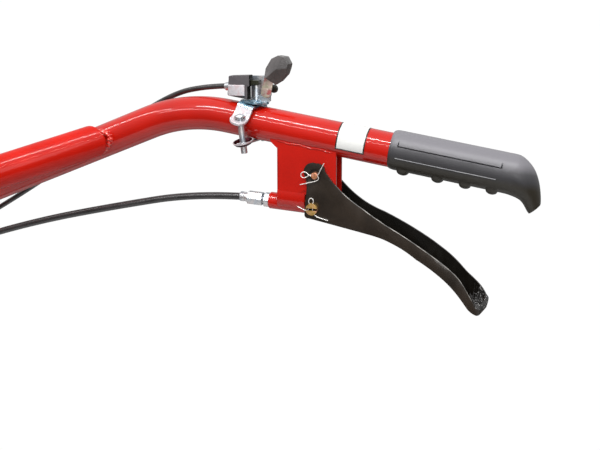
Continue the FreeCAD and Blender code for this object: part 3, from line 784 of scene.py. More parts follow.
class HANDLEBAR_OT_label(bpy.types.Operator):
    """Wraps the blank label with its thin border round the tube"""
    bl_idname = "handlebar.label"
    bl_label = "Label"

    def execute(self, context):
        shape = bmesh.new()
        radius = TUBE_R + LABEL_LIFT
        start = math.radians(LABEL_TURN[0])
        length = (LABEL_X[1] - LABEL_X[0]) / math.cos(FALL)
        first = Vector((0, -radius * math.cos(start), radius * math.sin(start)))
        points = [shape.verts.new(first + Vector((length * i / LABEL_FACES[0], 0, 0)))
                  for i in range(LABEL_FACES[0] + 1)]
        lines = [shape.edges.new(pair) for pair in zip(points, points[1:])]
        bmesh.ops.spin(shape, geom=points + lines, cent=(0, 0, 0), axis=(-1, 0, 0),
                       angle=math.radians(LABEL_TURN[1] - LABEL_TURN[0]), steps=LABEL_FACES[1])
        bmesh.ops.recalc_face_normals(shape, faces=shape.faces)
        if shape.faces[0].normal.dot(shape.faces[0].calc_center_median() * Vector((0, 1, 1))) < 0:
            bmesh.ops.reverse_faces(shape, faces=shape.faces)
        border = context.scene.handlebar.label_border / MM
        frame_faces = bmesh.ops.inset_region(shape, faces=shape.faces, thickness=border,
                                             use_boundary=True, use_even_offset=True)["faces"]
        for face in frame_faces:
            face.material_index = 1
        transformed(shape, along_grip(LABEL_X[0]))
        finished(shape, "blank_label", "handlebar", ["label_film", "label_ink"])
        return {"FINISHED"}


# --- operators: bracket, pins, adjuster ----------------------------------------------------
WEB_X = 509.6                         # outer face of the web that joins the side plates
SHEET = 3.0
BRACKET_H = 51.6
# in plan, from the side plate round to the web: distance behind the web's face, half width
FOLD = [(3.2, 12.0), (1.6, 11.6), (0.4, 10.4), (0.0, 8.8)]
# a gusset's outline: distance behind the web's face, height
GUSSET = [(-5.8, 141.2), (-5.8, 137.0), (0.3, 131.2), (5.0, 131.2), (5.0, 141.2)]
# turned pieces are radius and distance: from the cable pin along the wire, or along the pivot
CABLE_STOP = [(1.9, 8.6), (7.4, 8.6), (8.0, 9.2), (8.0, 45.2), (7.3, 46.0), (1.9, 46.0),
              (1.9, 8.6)]
ANCHOR_SHEET_X = (59.9, 63.1)         # the anchor's enamelled sheet; its ferrules lie outside


class HANDLEBAR_OT_bracket(bpy.types.Operator):
    """Finishes the lever bracket, the mounting plate and the cable anchor"""
    bl_idname = "handlebar.bracket"
    bl_label = "Bracket and Plates"

    def execute(self, context):
        right, wide, inner = BRACKET_X[1], BRACKET_HALF_W, BRACKET_HALF_W - SHEET
        plan = [(right, -wide), *[(WEB_X + x, -y) for x, y in FOLD],
                *[(WEB_X + x, y) for x, y in reversed(FOLD)], (right, wide), (right, inner),
                (WEB_X + SHEET, inner), (WEB_X + SHEET, -inner), (right, -inner)]
        finished(prism(plan, BRACKET_H, Matrix.Translation((0, 0, BRACKET_BOTTOM))), "bracket",
                 "handlebar", ["red_enamel"], ["lever_bracket"], bevel=0.5)
        for name, side in SIDES:
            middle = side * (BRACKET_HALF_W - 0.05 - SHEET / 2)
            plate = prism([(WEB_X + x, z) for x, z in GUSSET], SHEET,
                          side_on(middle - SHEET / 2))
            finished(plate, "gusset_" + name, "handlebar", ["red_enamel"], bevel=0.4)
        finished(turned(CABLE_STOP, facing(CABLE_PIN, WIRE_BACK)), "cable_stop", "handlebar",
                 ["red_enamel"])
        finished(copy_of("mounting_plate"), "drilled_plate", "handlebar", ["red_enamel"],
                 ["mounting_plate"], bevel=1.0)
        anchor = copy_of("cable_anchor")
        low, high = ANCHOR_SHEET_X
        for face in anchor.faces:
            face.material_index = 0 if low < face.calc_center_median().x < high else 1
        finished(anchor, "anchor", "handlebar", ["red_enamel", "bright_zinc"], ["cable_anchor"],
                 bevel=0.4)
        return {"FINISHED"}


SLEEVE = [(3.3, -13.6), (5.9, -13.6), (6.0, -13.4), (6.0, 15.1), (5.4, 15.6), (3.3, 15.4),
          (3.3, -13.6)]
PIVOT_PIN = [(0, -17.8), (3.0, -17.8), (3.4, -17.3), (3.4, 15.7), (5.0, 15.7), (5.0, 17.3),
             (4.4, 17.9), (0, 17.9)]
SLOT_HALF_W = 1.0                     # the slot across the cable pin's near end
SLOT_DEPTH = 2.4
SLOT_Y = (-19.7, -16.0)
SLOT_REACH = 4.0                      # the slot's faces lie this close to the pin's axis
PIVOT_SPLIT_Y = -16.9
CABLE_SPLIT_Y = -17.0
# the split pins' wires in X and Z
PIVOT_SPLIT_PIN = [(557.3, 119.1), (553.8, 113.0), (551.9, 108.2), (549.0, 106.2),
                   (545.6, 106.4), (542.6, 107.8), (540.2, 110.0), (537.7, 110.5),
                   (535.4, 109.2), (534.9, 107.4), (535.6, 105.6), (537.8, 104.7),
                   (540.4, 105.6), (542.8, 107.2), (545.6, 108.4), (549.0, 108.0),
                   (552.0, 106.2), (552.0, 103.6), (549.0, 102.0), (544.0, 100.8),
                   (534.3, 98.3)]
CABLE_SPLIT_PIN = [(531.5, 77.6), (536.0, 75.6), (540.6, 73.6), (543.2, 76.0), (543.8, 79.6),
                   (542.6, 82.2), (542.9, 84.8), (545.0, 86.2), (547.1, 84.8), (547.3, 82.2),
                   (546.0, 79.6), (546.4, 75.0), (547.6, 70.2), (551.4, 68.2), (556.0, 66.9),
                   (561.3, 65.6)]


def from_cable_pin(face):
    """Where a face's middle lies from the middle of the cable pin."""
    return face.calc_center_median() - CABLE_PIN


def slotted(shape):
    """Sinks a slot across the near end of the cable pin and marks its faces for painted shade."""
    for height in (-SLOT_HALF_W, SLOT_HALF_W):
        sliced(shape, CABLE_PIN + Vector((0, 0, height)), (0, 0, 1))
    shape.normal_update()
    strip = [face for face in shape.faces if face.normal.y < -0.9
             and from_cable_pin(face).y < -18.0
             and abs(from_cable_pin(face).z) < 0.95 * SLOT_HALF_W]
    sunk = bmesh.ops.extrude_face_region(shape, geom=strip)["geom"]
    bmesh.ops.translate(shape, vec=(0, SLOT_DEPTH, 0), verts=verts_of(sunk))
    bmesh.ops.delete(shape, geom=strip, context="FACES")
    for face in shape.faces:
        away = from_cable_pin(face)
        if SLOT_Y[0] < away.y < SLOT_Y[1] and abs(away.z) < 1.05 * SLOT_HALF_W \
                and abs(away.x) < SLOT_REACH:
            face.material_index = 1
    return shape


class HANDLEBAR_OT_pins(bpy.types.Operator):
    """Makes the hinge pin in its sleeve, the cable pin and their split pins"""
    bl_idname = "handlebar.pins"
    bl_label = "Pins"

    def execute(self, context):
        pivot = facing(PIVOT, Vector((0, 1, 0)))
        # the sleeve takes black enamel as painted shade in the lever's hole
        finished(turned(SLEEVE, pivot), "pivot_sleeve", "handlebar", ["black_enamel"],
                 ["lever_pivot_pin"])
        finished(turned(PIVOT_PIN, pivot, steps=8), "pivot_pin", "handlebar",
                 ["rose_chromate"], bevel=0.25, sharp=20.0)
        finished(slotted(copy_of("cable_pin")), "slotted_cable_pin", "clutch_lever",
                 ["yellow_zinc", "painted_shade_black"], ["cable_pin"], bevel=0.2)
        wire = context.scene.handlebar.split_pin_radius / MM
        drawn("pivot_split_pin", [(x, PIVOT_SPLIT_Y, z) for x, z in PIVOT_SPLIT_PIN], wire,
              "handlebar", "spring_wire")
        drawn("cable_split_pin", [(x, CABLE_SPLIT_Y, z) for x, z in CABLE_SPLIT_PIN], wire,
              "clutch_lever", "spring_wire")
        return {"FINISHED"}


# a nut's size across flats, its length and its start, measured from the cable pin
LOCK_NUT = (13.0, 5.2, 46.1)
BARREL = (12.0, 15.0, 53.2)
THREAD_R = (3.5, 4.0)                 # root and crest of the M8 screw
THREAD_PITCH = 1.25
THREAD_SPAN = (46.0, 53.8)
CLUTCH_FERRULE = [(0, 67.9), (4.2, 67.9), (4.7, 68.4), (4.7, 70.3), (4.3, 70.9),
                  (4.3, 71.6), (4.7, 72.2), (4.7, 75.4), (4.4, 76.0), (3.7, 76.3), (0, 76.3)]


class HANDLEBAR_OT_adjuster(bpy.types.Operator):
    """Makes the cable adjuster: screw, lock nut, hexagonal barrel and the cable's ferrule"""
    bl_idname = "handlebar.adjuster"
    bl_label = "Cable Adjuster"

    def execute(self, context):
        line = facing(CABLE_PIN, WIRE_BACK)
        for name, (flats, length, away), replaces in (
                ("lock_nut", LOCK_NUT, ["cable_adjuster"]), ("adjuster_barrel", BARREL, [])):
            nut = hexagon(flats, length, line @ Matrix.Translation((0, 0, away)))
            finished(nut, name, "handlebar", ["bright_zinc"], replaces, bevel=0.7)
        root, crest = THREAD_R
        begin, end = THREAD_SPAN
        thread = [(0, begin - 0.1)]
        for turn in range(6):
            foot = begin + THREAD_PITCH * turn
            thread += [(root, foot), (crest, foot + 0.6)]
        thread += [(root, end), (0, end + 0.1)]
        finished(turned(thread, line), "adjuster_screw", "handlebar", ["bright_zinc"])
        finished(turned(CLUTCH_FERRULE, line), "clutch_cable_ferrule", "handlebar",
                 ["bright_zinc"])
        return {"FINISHED"}


# --- operators: clutch lever ---------------------------------------------------------------
SPOON_FOOT = Vector((672.0, 0, 14.5))         # on the lever's under edge, where its end begins
SPOON_ALONG = Vector((0.622, 0, -0.783))
SPOON_ACROSS = Vector((0.783, 0, 0.622))      # from the under edge to the open side
SPOON_DIP = 0.78                      # share of its height that the near side loses
SPOON_LONGER = (0.2, 0.22)            # at the under edge, and more for each mm across
SPOON_WIDER = 6.0 / 13.0              # for each mm across
# from where to where along the end each of them grows
DIP_S = (2.0, 33.0)
LONGER_S = (20.0, 38.0)
WIDER_S = (3.0, 29.0)
POOLED_S = 24.0                       # from here on the enamel is pooled and carries painted glints
# the lever's under edge, in X and Z, where the near wall's rim sags and its foot rises a little
UNDER_EDGE = [(588.0, 56.1), (612.0, 50.4), (636.0, 40.3), (660.0, 23.7), (672.0, 14.5),
              (705.0, -20.0)]
RIM_SAG = 3.4
FOOT_RISE = 0.8
SAG_X = (590.0, 618.0)
WALL_H = 16.0
WALL_Y = 10.0
FLOOR_HALF_W = 11.0                   # the channel's floor lies within this
RIM_X = 575.0                         # the near wall's rim, with its painted highlight, starts here
RIM_Y = -12.5                         # and lies outside this


def share_of(value):
    """A number held between 0 and 1."""
    return min(1.0, max(0.0, value))


def smooth_step(value, low, high):
    """Rises smoothly from 0 at the low value to 1 at the high one."""
    share = share_of((value - low) / (high - low))
    return share * share * (3 - 2 * share)


def under_edge(x):
    """The height of the lever's under edge at a place along it."""
    for (x0, z0), (x1, z1) in zip(UNDER_EDGE, UNDER_EDGE[1:]):
        if x < x1:
            break
    return z0 + (z1 - z0) * (x - x0) / (x1 - x0)


def sagged(point):
    """Moves a point of the near wall: its rim hangs lower than the far wall's."""
    near = share_of(-point.y / WALL_Y)
    share = share_of((point.z - under_edge(point.x)) / WALL_H)
    reach = near * smooth_step(point.x, *SAG_X)
    return point + Vector((0, 0, reach * (FOOT_RISE * (1 - share) - RIM_SAG * share)))


def spooned(point):
    """Moves a point of the lever's end so that it dips on the near side and curls round."""
    along = (point - SPOON_FOOT).dot(SPOON_ALONG)
    across = (point - SPOON_FOOT).dot(SPOON_ACROSS)
    if along < DIP_S[0]:
        return point
    dip = SPOON_DIP * smooth_step(along, *DIP_S) * share_of((8.0 - point.y) / 14.0)
    longer = (SPOON_LONGER[0] + SPOON_LONGER[1] * across) * smooth_step(along, *LONGER_S)
    wider = SPOON_WIDER * across * smooth_step(along, *WIDER_S)
    return (SPOON_FOOT + Vector((wider, point.y, 0)) + SPOON_ALONG * (along + longer)
            + SPOON_ACROSS * across * (1.0 - dip))


class HANDLEBAR_OT_clutch_lever(bpy.types.Operator):
    """Finishes the pressed clutch lever"""
    bl_idname = "handlebar.clutch_lever"
    bl_label = "Clutch Lever"

    def execute(self, context):
        finishes = ["black_enamel", "painted_shade_black", "pooled_enamel_glints", "rim_highlight"]
        shape = copy_of("clutch_lever")
        for face in shape.faces:
            middle, normal = face.calc_center_median(), face.normal
            wall = normal.y * middle.y < -0.5 * abs(middle.y)
            floor = normal.z > 0.2 and abs(normal.y) < 0.5 and abs(middle.y) < FLOOR_HALF_W
            # the channel's inner walls and floor take painted shade, painted glints in the spoon,
            # and the near rim a painted highlight
            finish = "black_enamel"
            if wall or floor:
                in_spoon = (middle - SPOON_FOOT).dot(SPOON_ALONG) > POOLED_S
                finish = "pooled_enamel_glints" if in_spoon else "painted_shade_black"
            if middle.y < RIM_Y and middle.x > RIM_X and normal.z > 0.5:
                finish = "rim_highlight"
            face.material_index = finishes.index(finish)
        for vert in shape.verts:
            vert.co = spooned(sagged(vert.co))
        shape.normal_update()
        finished(shape, "pressed_lever", "clutch_lever", finishes, ["clutch_lever"], bevel=0.5)
        return {"FINISHED"}


# --- operators: grip -----------------------------------------------------------------------
GRIP_RAISE = 1.0                      # the grip's body sits this much above the tube's axis
GRIP_BODY_S = (6.9, 105.5)            # along the grip's axis from its collar's end
# the collar: place along the grip, radius
COLLAR = [(2.2, 16.1), (2.3, 16.7), (2.9, 17.3), (4.0, 17.8), (5.4, 18.15), (6.8, 18.35)]
RIB_S = (16.6, 49.0, 74.4, 98.7)      # along the grip's axis
RIB_HALF_L = 5.3
RIB_RISE = 3.4
RIB_FADE = (52.0, 70.0)               # degrees below the sides over which a rib rises
GROOVE_S = (10.2, 104.0)
GROOVE_TURN = (19.0, 31.0)            # degrees above the sides' middle
GROOVE_DEPTH = 1.0
FLASH_S = (9.2, 100.8)
FLASH_TURN = -15.5
# upper point, lower point and half width of the finger stop's sections
HORN = [(723.1, 133.2, 716.9, 97.0, 18.4), (732.6, 131.4, 722.4, 95.9, 18.3),
        (738.8, 127.3, 728.2, 94.0, 17.6), (743.8, 121.8, 731.8, 92.4, 16.2),
        (747.3, 115.8, 734.4, 90.6, 14.5), (749.9, 108.4, 736.5, 88.2, 12.5),
        (751.4, 101.0, 738.2, 85.5, 10.5), (752.2, 93.8, 740.0, 82.3, 8.6),
        (752.3, 88.4, 741.6, 79.9, 7.3), (751.6, 86.7, 742.3, 79.3, 6.6),
        (750.5, 85.9, 743.0, 79.5, 5.6)]


def grip_relief(s, turn):
    """How far the grip's skin stands out at a place along it and an angle above its sides."""
    if abs(turn - GROOVE_TURN[0]) < 1.4 and GROOVE_S[0] - 0.5 < s < GROOVE_S[1] + 0.5:
        return -GROOVE_DEPTH
    if GROOVE_TURN[0] < turn < GROOVE_TURN[1] and min(abs(s - end) for end in GROOVE_S) < 0.5:
        return -GROOVE_DEPTH
    if abs(turn - FLASH_TURN) < 0.7 and FLASH_S[0] < s < FLASH_S[1]:
        return 0.6
    rise = 0.0
    for middle in RIB_S:
        reach = abs(s - middle) / RIB_HALF_L
        if reach < 1.0:
            rise = RIB_RISE * math.sqrt(1.0 - reach ** 2) * smooth_step(-turn, *RIB_FADE)
    return rise


def grip_stations():
    """Places along the grip where its rings go: close together at ribs and groove ends."""
    marks = {round(2.5 * i, 2) for i in range(3, 43)}
    for middle in RIB_S:
        marks |= {round(middle + 0.45 * i, 2) for i in range(-13, 14)}
    for end in (*GROOVE_S, *FLASH_S):
        marks |= {end - 0.9, end - 0.45, end + 0.45, end + 0.9}
    return sorted(m for m in marks if 7.0 < m < GRIP_BODY_S[1])


class HANDLEBAR_OT_grip(bpy.types.Operator):
    """Moulds the rubber grip: collar, panel groove, flash line, ribs and finger stop"""
    bl_idname = "handlebar.grip"
    bl_label = "Grip"

    def execute(self, context):
        home = along_grip(GRIP_X0) @ Matrix.Translation((0, 0, GRIP_RAISE))
        turns = {5.0 * i for i in range(-18, 19)}
        for turn, half in ((GROOVE_TURN[0], 0.9), (FLASH_TURN, 0.0)):
            turns |= {turn - half - 1.1, turn - half, turn + half, turn + half + 1.1}
        turns = sorted(turns)
        angles = ([math.radians(t) for t in turns]
                  + [math.radians(180 - t) for t in reversed(turns[1:-1])])
        stations = COLLAR + [(s, GRIP_R) for s in grip_stations()]
        rings = [home @ Matrix.Translation((s, 0, 0)) @ Matrix.Diagonal((1, r, r, 1))
                 for s, r in stations]
        for ux, uz, lx, lz, half in eased(HORN, 4):
            upper, lower = Vector((ux, 0, uz)), Vector((lx, 0, lz))
            across = upper - lower
            tilt = math.atan2(across.x, across.z)
            rings.append(Matrix.Translation((upper + lower) / 2) @ Matrix.Rotation(tilt, 4, "Y")
                         @ Matrix.Diagonal((1, half, across.length / 2, 1)))
        shape = skinned(rings, angles)
        inward = home.inverted()
        for vert in shape.verts:
            local = inward @ vert.co
            if GRIP_BODY_S[0] < local.x < GRIP_BODY_S[1]:
                turn = math.degrees(math.atan2(local.z, abs(local.y)))
                growth = 1.0 + grip_relief(local.x, turn) / GRIP_R
                vert.co = home @ Vector((local.x, local.y * growth, local.z * growth))
        # the flash takes a painted highlight and the groove takes painted shade
        for face in shape.faces:
            local = inward @ face.calc_center_median()
            turn = math.degrees(math.atan2(local.z, abs(local.y)))
            if FLASH_S[0] < local.x < FLASH_S[1] and abs(turn - FLASH_TURN) < 1.0:
                face.material_index = 1
            elif (GRIP_BODY_S[0] < local.x < GRIP_BODY_S[1]
                  and grip_relief(local.x, turn) < 0):
                face.material_index = 2
        finished(shape, "moulded_grip", "handlebar", ["grip_rubber", "flash_highlight", "groove_shade"],
                 ["hand_grip"], sharp=48.0)
        return {"FINISHED"}


# --- operators: throttle control -----------------------------------------------------------
STRAP_BEND_R = 3.2
STRAP_END_R = 7.8
STRAP_SHEET = 2.4
# the strap's path over the tube in Y and Z
STRAP = [(-31.5, 0.0), (-20.0, 4.5), (-16.9, 17.3), (16.9, 17.3), (20.0, 4.5), (31.5, 0.0)]
STRAP_SHIFT = 3.4                     # towards the grip
STRAP_LEAN = math.radians(8.0)        # further over than square to the tube
STRAP_BLUE_Z = 13.6                   # above this the strap has kept its blue passivation
CLAMP_YAW = math.radians(-6.0)
BAR_HALF = (5.0, 28.0)
BAR_T = 2.0
BAR_Z = -19.9
BOLT_LEAN = math.radians(-7.0)        # from upright
BOLT_HEAD_Z = 6.9
BOLT_END_Z = {"near": -28.2, "far": -22.5}
# a bolt's head: radius, height over the head's middle
BOLT_HEAD = [(3.0, -2.0), (5.2, -2.0), (5.4, -1.2), (5.0, 0.2), (3.9, 1.3), (2.2, 1.9),
             (0, 2.1)]
CUP_Z = -16.6
CUP_TILT = math.radians(14.0)         # each cup washer tips outwards
CUP = [(0, -4.8), (4.6, -4.6), (7.6, -3.2), (9.3, -1.1), (9.8, 0.2), (9.1, 0.3), (8.2, -0.9),
       (6.4, -2.4), (4.0, -3.2), (0, -3.4)]
CUP_HOLLOW = (8.7, -3.5)              # the hollow, coloured with painted shade, lies within this radius, above this height


def sheet_strip(path, width, thickness, end_r):
    """A strip of sheet bent along a path in YZ, centred on X = 0, with rounded ends."""
    shape = bmesh.new()
    points = [shape.verts.new((-width / 2, y, z)) for y, z in path]
    for pair in zip(points, points[1:]):
        shape.edges.new(pair)
    bmesh.ops.bevel(shape, geom=points[1:-1], offset=STRAP_BEND_R, offset_type="OFFSET",
                    segments=6, profile=0.5, affect="VERTICES", material=-1)
    grown = bmesh.ops.extrude_edge_only(shape, edges=shape.edges[:])["geom"]
    bmesh.ops.translate(shape, vec=(width, 0, 0), verts=verts_of(grown))
    ends = (path[0][0], path[-1][0])
    corners = [v for v in shape.verts if min(abs(v.co.y - end) for end in ends) < 0.01]
    bmesh.ops.bevel(shape, geom=corners, offset=end_r, offset_type="OFFSET", segments=8,
                    profile=0.5, affect="VERTICES", material=-1)
    bmesh.ops.recalc_face_normals(shape, faces=shape.faces)
    bmesh.ops.solidify(shape, geom=shape.faces[:], thickness=thickness)
    bmesh.ops.recalc_face_normals(shape, faces=shape.faces)
    return shape


def clamp_cup(seat):
    """A dished cup washer, with painted shade in its hollow."""
    cup = turned(CUP, seat)
    for face in cup.faces:
        middle = seat.inverted() @ face.calc_center_median()
        if math.hypot(middle.x, middle.y) < CUP_HOLLOW[0] and middle.z > CUP_HOLLOW[1]:
            face.material_index = 1
    return cup


class HANDLEBAR_OT_throttle_clamp(bpy.types.Operator):
    """Makes the clamp of the throttle control with its strap, bolts, cup washers and bar"""
    bl_idname = "handlebar.throttle_clamp"
    bl_label = "Throttle Clamp"

    def execute(self, context):
        over = (along_grip(CLAMP_X + STRAP_SHIFT) @ Matrix.Rotation(CLAMP_YAW, 4, "Z")
                @ Matrix.Rotation(STRAP_LEAN, 4, "Y"))
        strap = sheet_strip(STRAP, 2 * CLAMP_HALF_L, STRAP_SHEET, STRAP_END_R)
        sliced(strap, (0, 0, STRAP_BLUE_Z), (0, 0, 1))
        for face in strap.faces:
            if face.calc_center_median().z > STRAP_BLUE_Z:
                face.material_index = 1
        finished(transformed(strap, over), "clamp_strap", "handlebar",
                 ["chalky_zinc", "blue_zinc"], ["throttle_clamp"], bevel=0.5, segments=2)
        # the bolts hang a little askew, square to the bar under the tube
        under = (Matrix.Translation(over @ Vector((0, 0, BOLT_HEAD_Z)))
                 @ Matrix.Rotation(BOLT_LEAN, 4, "Y") @ Matrix.Rotation(CLAMP_YAW, 4, "Z")
                 @ Matrix.Translation((0, 0, -BOLT_HEAD_Z)))
        x, y = BAR_HALF
        bar = prism([(-x, -y), (x, -y), (x, y), (-x, y)], BAR_T,
                    under @ Matrix.Translation((0, 0, BAR_Z)))
        finished(bar, "clamp_bar", "handlebar", ["bright_zinc"], bevel=0.5)
        for name, side in SIDES:
            at = under @ Matrix.Translation((0, side * CLAMP_BOLT_Y, 0))
            end = BOLT_END_Z[name]
            bolt = [(0, end), (2.6, end), (3.0, end + 0.5),
                    *[(radius, BOLT_HEAD_Z + height) for radius, height in BOLT_HEAD]]
            finished(turned(bolt, at, steps=32), "clamp_bolt_" + name, "handlebar",
                     ["bright_zinc"])
            seat = (at @ Matrix.Translation((0, 0, CUP_Z))
                    @ Matrix.Rotation(-side * CUP_TILT, 4, "X"))
            finished(clamp_cup(seat), "clamp_cup_" + name, "handlebar",
                     ["chalky_zinc", "shaded_zinc"])
        return {"FINISHED"}


PLATFORM = Vector((486.0, -3.0, 174.0))      # middle of the round platform's top
PLATFORM_TILT = math.radians(5.0)
PLATFORM_DISC = [(0, -2.6), (12.4, -2.6), (13.5, -2.0), (13.5, -0.6), (12.2, 0.0), (7.5, 0.0),
                 (6.8, 0.6), (0, 0.8)]
# planes that cut the control's base down to its ears: a point and the way out
BASE_SIDES = [((0, -8.3, 0), (0, -1, 0)), ((0, 12.2, 0), (0, 1, 0))]
BASE_END = ((501.4, -8.0, 0), (0.985, 0.171, 0))
BASE_FACE_Y = -8.0                    # the base's near face, in the lever's finish
CLIP_BOTTOM = 178.7
CAP_NUT = [(0, -2.9), (2.9, -2.7), (3.9, -1.3), (4.0, 1.1), (3.0, 2.7), (0, 3.1)]
CAP_AWAY = Vector((0.8, 15.0, 2.0))          # from the throttle's pivot
CAP_FACES = Vector((0.3, 1, 0.1))
SLIDE_X = (482.6, 490.4)
SLIDE_Z = (188.6, 193.0)
SLIDE_Y = -5.5
SLIDE_W = 9.0
THROTTLE_FERRULE = [(0, -1.5), (3.4, -1.5), (3.9, -1.0), (3.9, 4.6), (3.5, 5.2), (0, 5.4)]
FERRULE_AWAY = Vector((-1.0, 0.2, -0.1))     # from the cable's start
FERRULE_FACES = Vector((-0.96, 0.24, -0.14))


class HANDLEBAR_OT_throttle(bpy.types.Operator):
    """Finishes the throttle control: base, housing, clip, lever plate and knob"""
    bl_idname = "handlebar.throttle"
    bl_label = "Throttle Control"

    def execute(self, context):
        platform = Matrix.Translation(PLATFORM) @ Matrix.Rotation(PLATFORM_TILT, 4, "Y")
        up = platform.to_3x3() @ Vector((0, 0, 1))
        base = copy_of("throttle_base")
        for point, outward in (*BASE_SIDES, (PLATFORM, -up), BASE_END):
            cut_off(base, point, outward)
        for face in base.faces:
            if face.normal.y < -0.9 and face.calc_center_median().y < BASE_FACE_Y:
                face.material_index = 1
        finished(base, "control_base", "handlebar", ["bright_zinc", "rose_zinc"],
                 ["throttle_base"], bevel=0.35)
        finished(turned(PLATFORM_DISC, platform), "control_platform", "handlebar",
                 ["blue_zinc"])
        cap = turned(CAP_NUT, facing(THROTTLE_PIVOT + CAP_AWAY, CAP_FACES), steps=32)
        finished(cap, "cap_nut", "handlebar", ["olive_plastic"])
        (left, right), (low, high) = SLIDE_X, SLIDE_Z
        slide = prism([(left, low), (right, low), (right, high), (left, high)], SLIDE_W,
                      side_on(SLIDE_Y))
        finished(slide, "cable_slide", "handlebar", ["olive_plastic"], bevel=0.5)
        housing = copy_of("throttle_housing")
        for face in housing.faces:
            # the housing's faces that look along +X take painted shade
            face.material_index = 1 if face.normal.x > 0.8 else 0
        finished(housing, "control_housing", "handlebar", ["black_plastic", "painted_shade_black"],
                 ["throttle_housing"], bevel=0.9, segments=4)
        clip = copy_of("throttle_clip")
        cut_off(clip, (0, 0, CLIP_BOTTOM), (0, 0, -1))
        finished(clip, "control_clip", "handlebar", ["chalky_zinc"],
                 ["throttle_clip"], bevel=0.5)
        finished(copy_of("throttle_arm"), "lever_plate", "throttle_lever", ["rose_zinc"],
                 ["throttle_arm"], bevel=0.35)
        knob = copy_of("throttle_knob")
        # facets turned down take painted shade; facets turned up, unless turned well towards -X,
        # take painted light
        for face in knob.faces:
            if face.normal.z < -0.15:
                face.material_index = 2
            elif face.normal.z > 0.15 and face.normal.x > -0.2:
                face.material_index = 1
        finished(knob, "knob", "throttle_lever", ["knob_plastic", "knob_painted_light", "knob_painted_shade"],
                 ["throttle_knob"], bevel=1.4, segments=5, sharp=18.0)
        ferrule = turned(THROTTLE_FERRULE, facing(THROTTLE_START + FERRULE_AWAY, FERRULE_FACES))
        finished(ferrule, "throttle_cable_ferrule", "handlebar", ["bright_zinc"])
        return {"FINISHED"}


# --- operators: cables ---------------------------------------------------------------------
CLUTCH_CABLE_S = 72.0                 # where the clutch cable starts, from the cable pin


def cable(name, start, route, exit_point, radius, replaces):
    """A cable between its two ferrules, laid along its route."""
    direction = (exit_point - Vector(route[-1])).normalized()
    points = [start, *route, exit_point - direction * CABLE_END_BACK]
    piece = drawn(name, points, radius, "handlebar", "cable_jacket", [replaces])


class HANDLEBAR_OT_cables(bpy.types.Operator):
    """Lays the clutch cable and the throttle cable"""
    bl_idname = "handlebar.cables"
    bl_label = "Cables"

    def execute(self, context):
        cable("clutch_control_cable", CABLE_PIN + WIRE_BACK * CLUTCH_CABLE_S, CLUTCH_ROUTE,
              CLUTCH_EXIT, CLUTCH_CABLE_R, "clutch_cable")
        cable("throttle_control_cable", THROTTLE_START, THROTTLE_ROUTE, THROTTLE_EXIT,
              THROTTLE_CABLE_R, "throttle_cable")
        return {"FINISHED"}


class HANDLEBAR_OT_finishes(bpy.types.Operator):
    """Gives every CAD node the finish of its slot"""
    bl_idname = "handlebar.finishes"
    bl_label = "Finishes"

    def execute(self, context):
        for part in frame["record"]["subparts"]:
            node = NODES[part["node"]]
            node.data.materials.clear()
            node.data.materials.append(finish_of(part["material_slot"]))
        return {"FINISHED"}


# --- stage ---------------------------------------------------------------------------------
LAMP_AIM = Vector((0.45, 0, 0.1))
# name, place, size, and power in watts
LAMPS = (("front_strip", (0.5, -1.3, 0.95), (2.2, 0.03), 6.0),
         ("fill", (1.1, -1.7, 0.45), (0.8, 0.8), 6.0),
         ("left_strip", (-1.3, -1.0, 1.7), (1.6, 0.05), 8.0),
         ("key", (0.7, -1.0, 1.7), (2.2, 0.08), 34.0))
CAMERA_AIM = Vector((0.5294, 0, 0.0561))
CAMERA_AWAY = 0.957
CAMERA_AZIMUTH = math.radians(16.0)
CAMERA_ELEVATION = math.radians(12.0)
CAMERA_LENS = 60.0
CAMERA_SENSOR = 36.0
FLOOR_MIDDLE = (0.4, -0.25)


def lay_floor(scene):
    """A pale matt board under the arm."""
    shape = bmesh.new()
    bmesh.ops.create_grid(shape, x_segments=1, y_segments=1, size=scene.handlebar.floor_reach)
    bmesh.ops.translate(shape, verts=shape.verts,
                        vec=(*FLOOR_MIDDLE, scene.handlebar.floor_height))
    mesh = bpy.data.meshes.new("floor")
    shape.to_mesh(mesh)
    shape.free()
    floor = bpy.data.objects.new("floor", mesh)
    scene.collection.objects.link(floor)
    mesh.materials.append(new_material("matt_white_board", Base_Color=(0.6, 0.6, 0.6, 1.0),
                                       Roughness=0.9)[0])


def light_studio(scene):
    """A white studio whose light comes mostly from above and behind; its walls look white."""
    world = bpy.data.worlds.new("studio")
    scene.world = world
    world.use_nodes = True
    glow = world.node_tree.nodes["Background"]
    glow.inputs["Color"].default_value = (1, 1, 1, 1)
    around = add_node(world, "ShaderNodeTexCoord").outputs["Generated"]
    split = add_node(world, "ShaderNodeSeparateXYZ", [("Vector", around)])
    upward = add_node(world, "ShaderNodeMapRange", [("Value", split.outputs["Z"])],
                      From_Min=-0.3, From_Max=0.9, To_Min=0.06, To_Max=0.75)
    behind = add_node(world, "ShaderNodeMapRange", [("Value", split.outputs["Y"])],
                      From_Min=-0.2, From_Max=0.6, To_Min=0.04, To_Max=0.16)
    level = add_node(world, "ShaderNodeMath", operation="ADD")
    ray = add_node(world, "ShaderNodeLightPath").outputs["Is Camera Ray"]
    choice = add_node(world, "ShaderNodeMix", [("Factor", ray), ("A", level.outputs["Value"])])
    choice.inputs["B"].default_value = 1.02
    link = world.node_tree.links.new
    link(upward.outputs["Result"], level.inputs[0])
    link(behind.outputs["Result"], level.inputs[1])
    link(choice.outputs["Result"], glow.inputs["Strength"])


def hang_lamps(scene):
    """The strip lamps and the fill, all turned to the arm."""
    for name, place, size, power in LAMPS:
        lamp = bpy.data.lights.new(name, "AREA")
        lamp.shape = "RECTANGLE"
        lamp.size, lamp.size_y = size
        lamp.energy = power
        light = bpy.data.objects.new(name, lamp)
        light.location = place
        light.rotation_euler = (LAMP_AIM - light.location).to_track_quat("-Z", "Y").to_euler()
        scene.collection.objects.link(light)


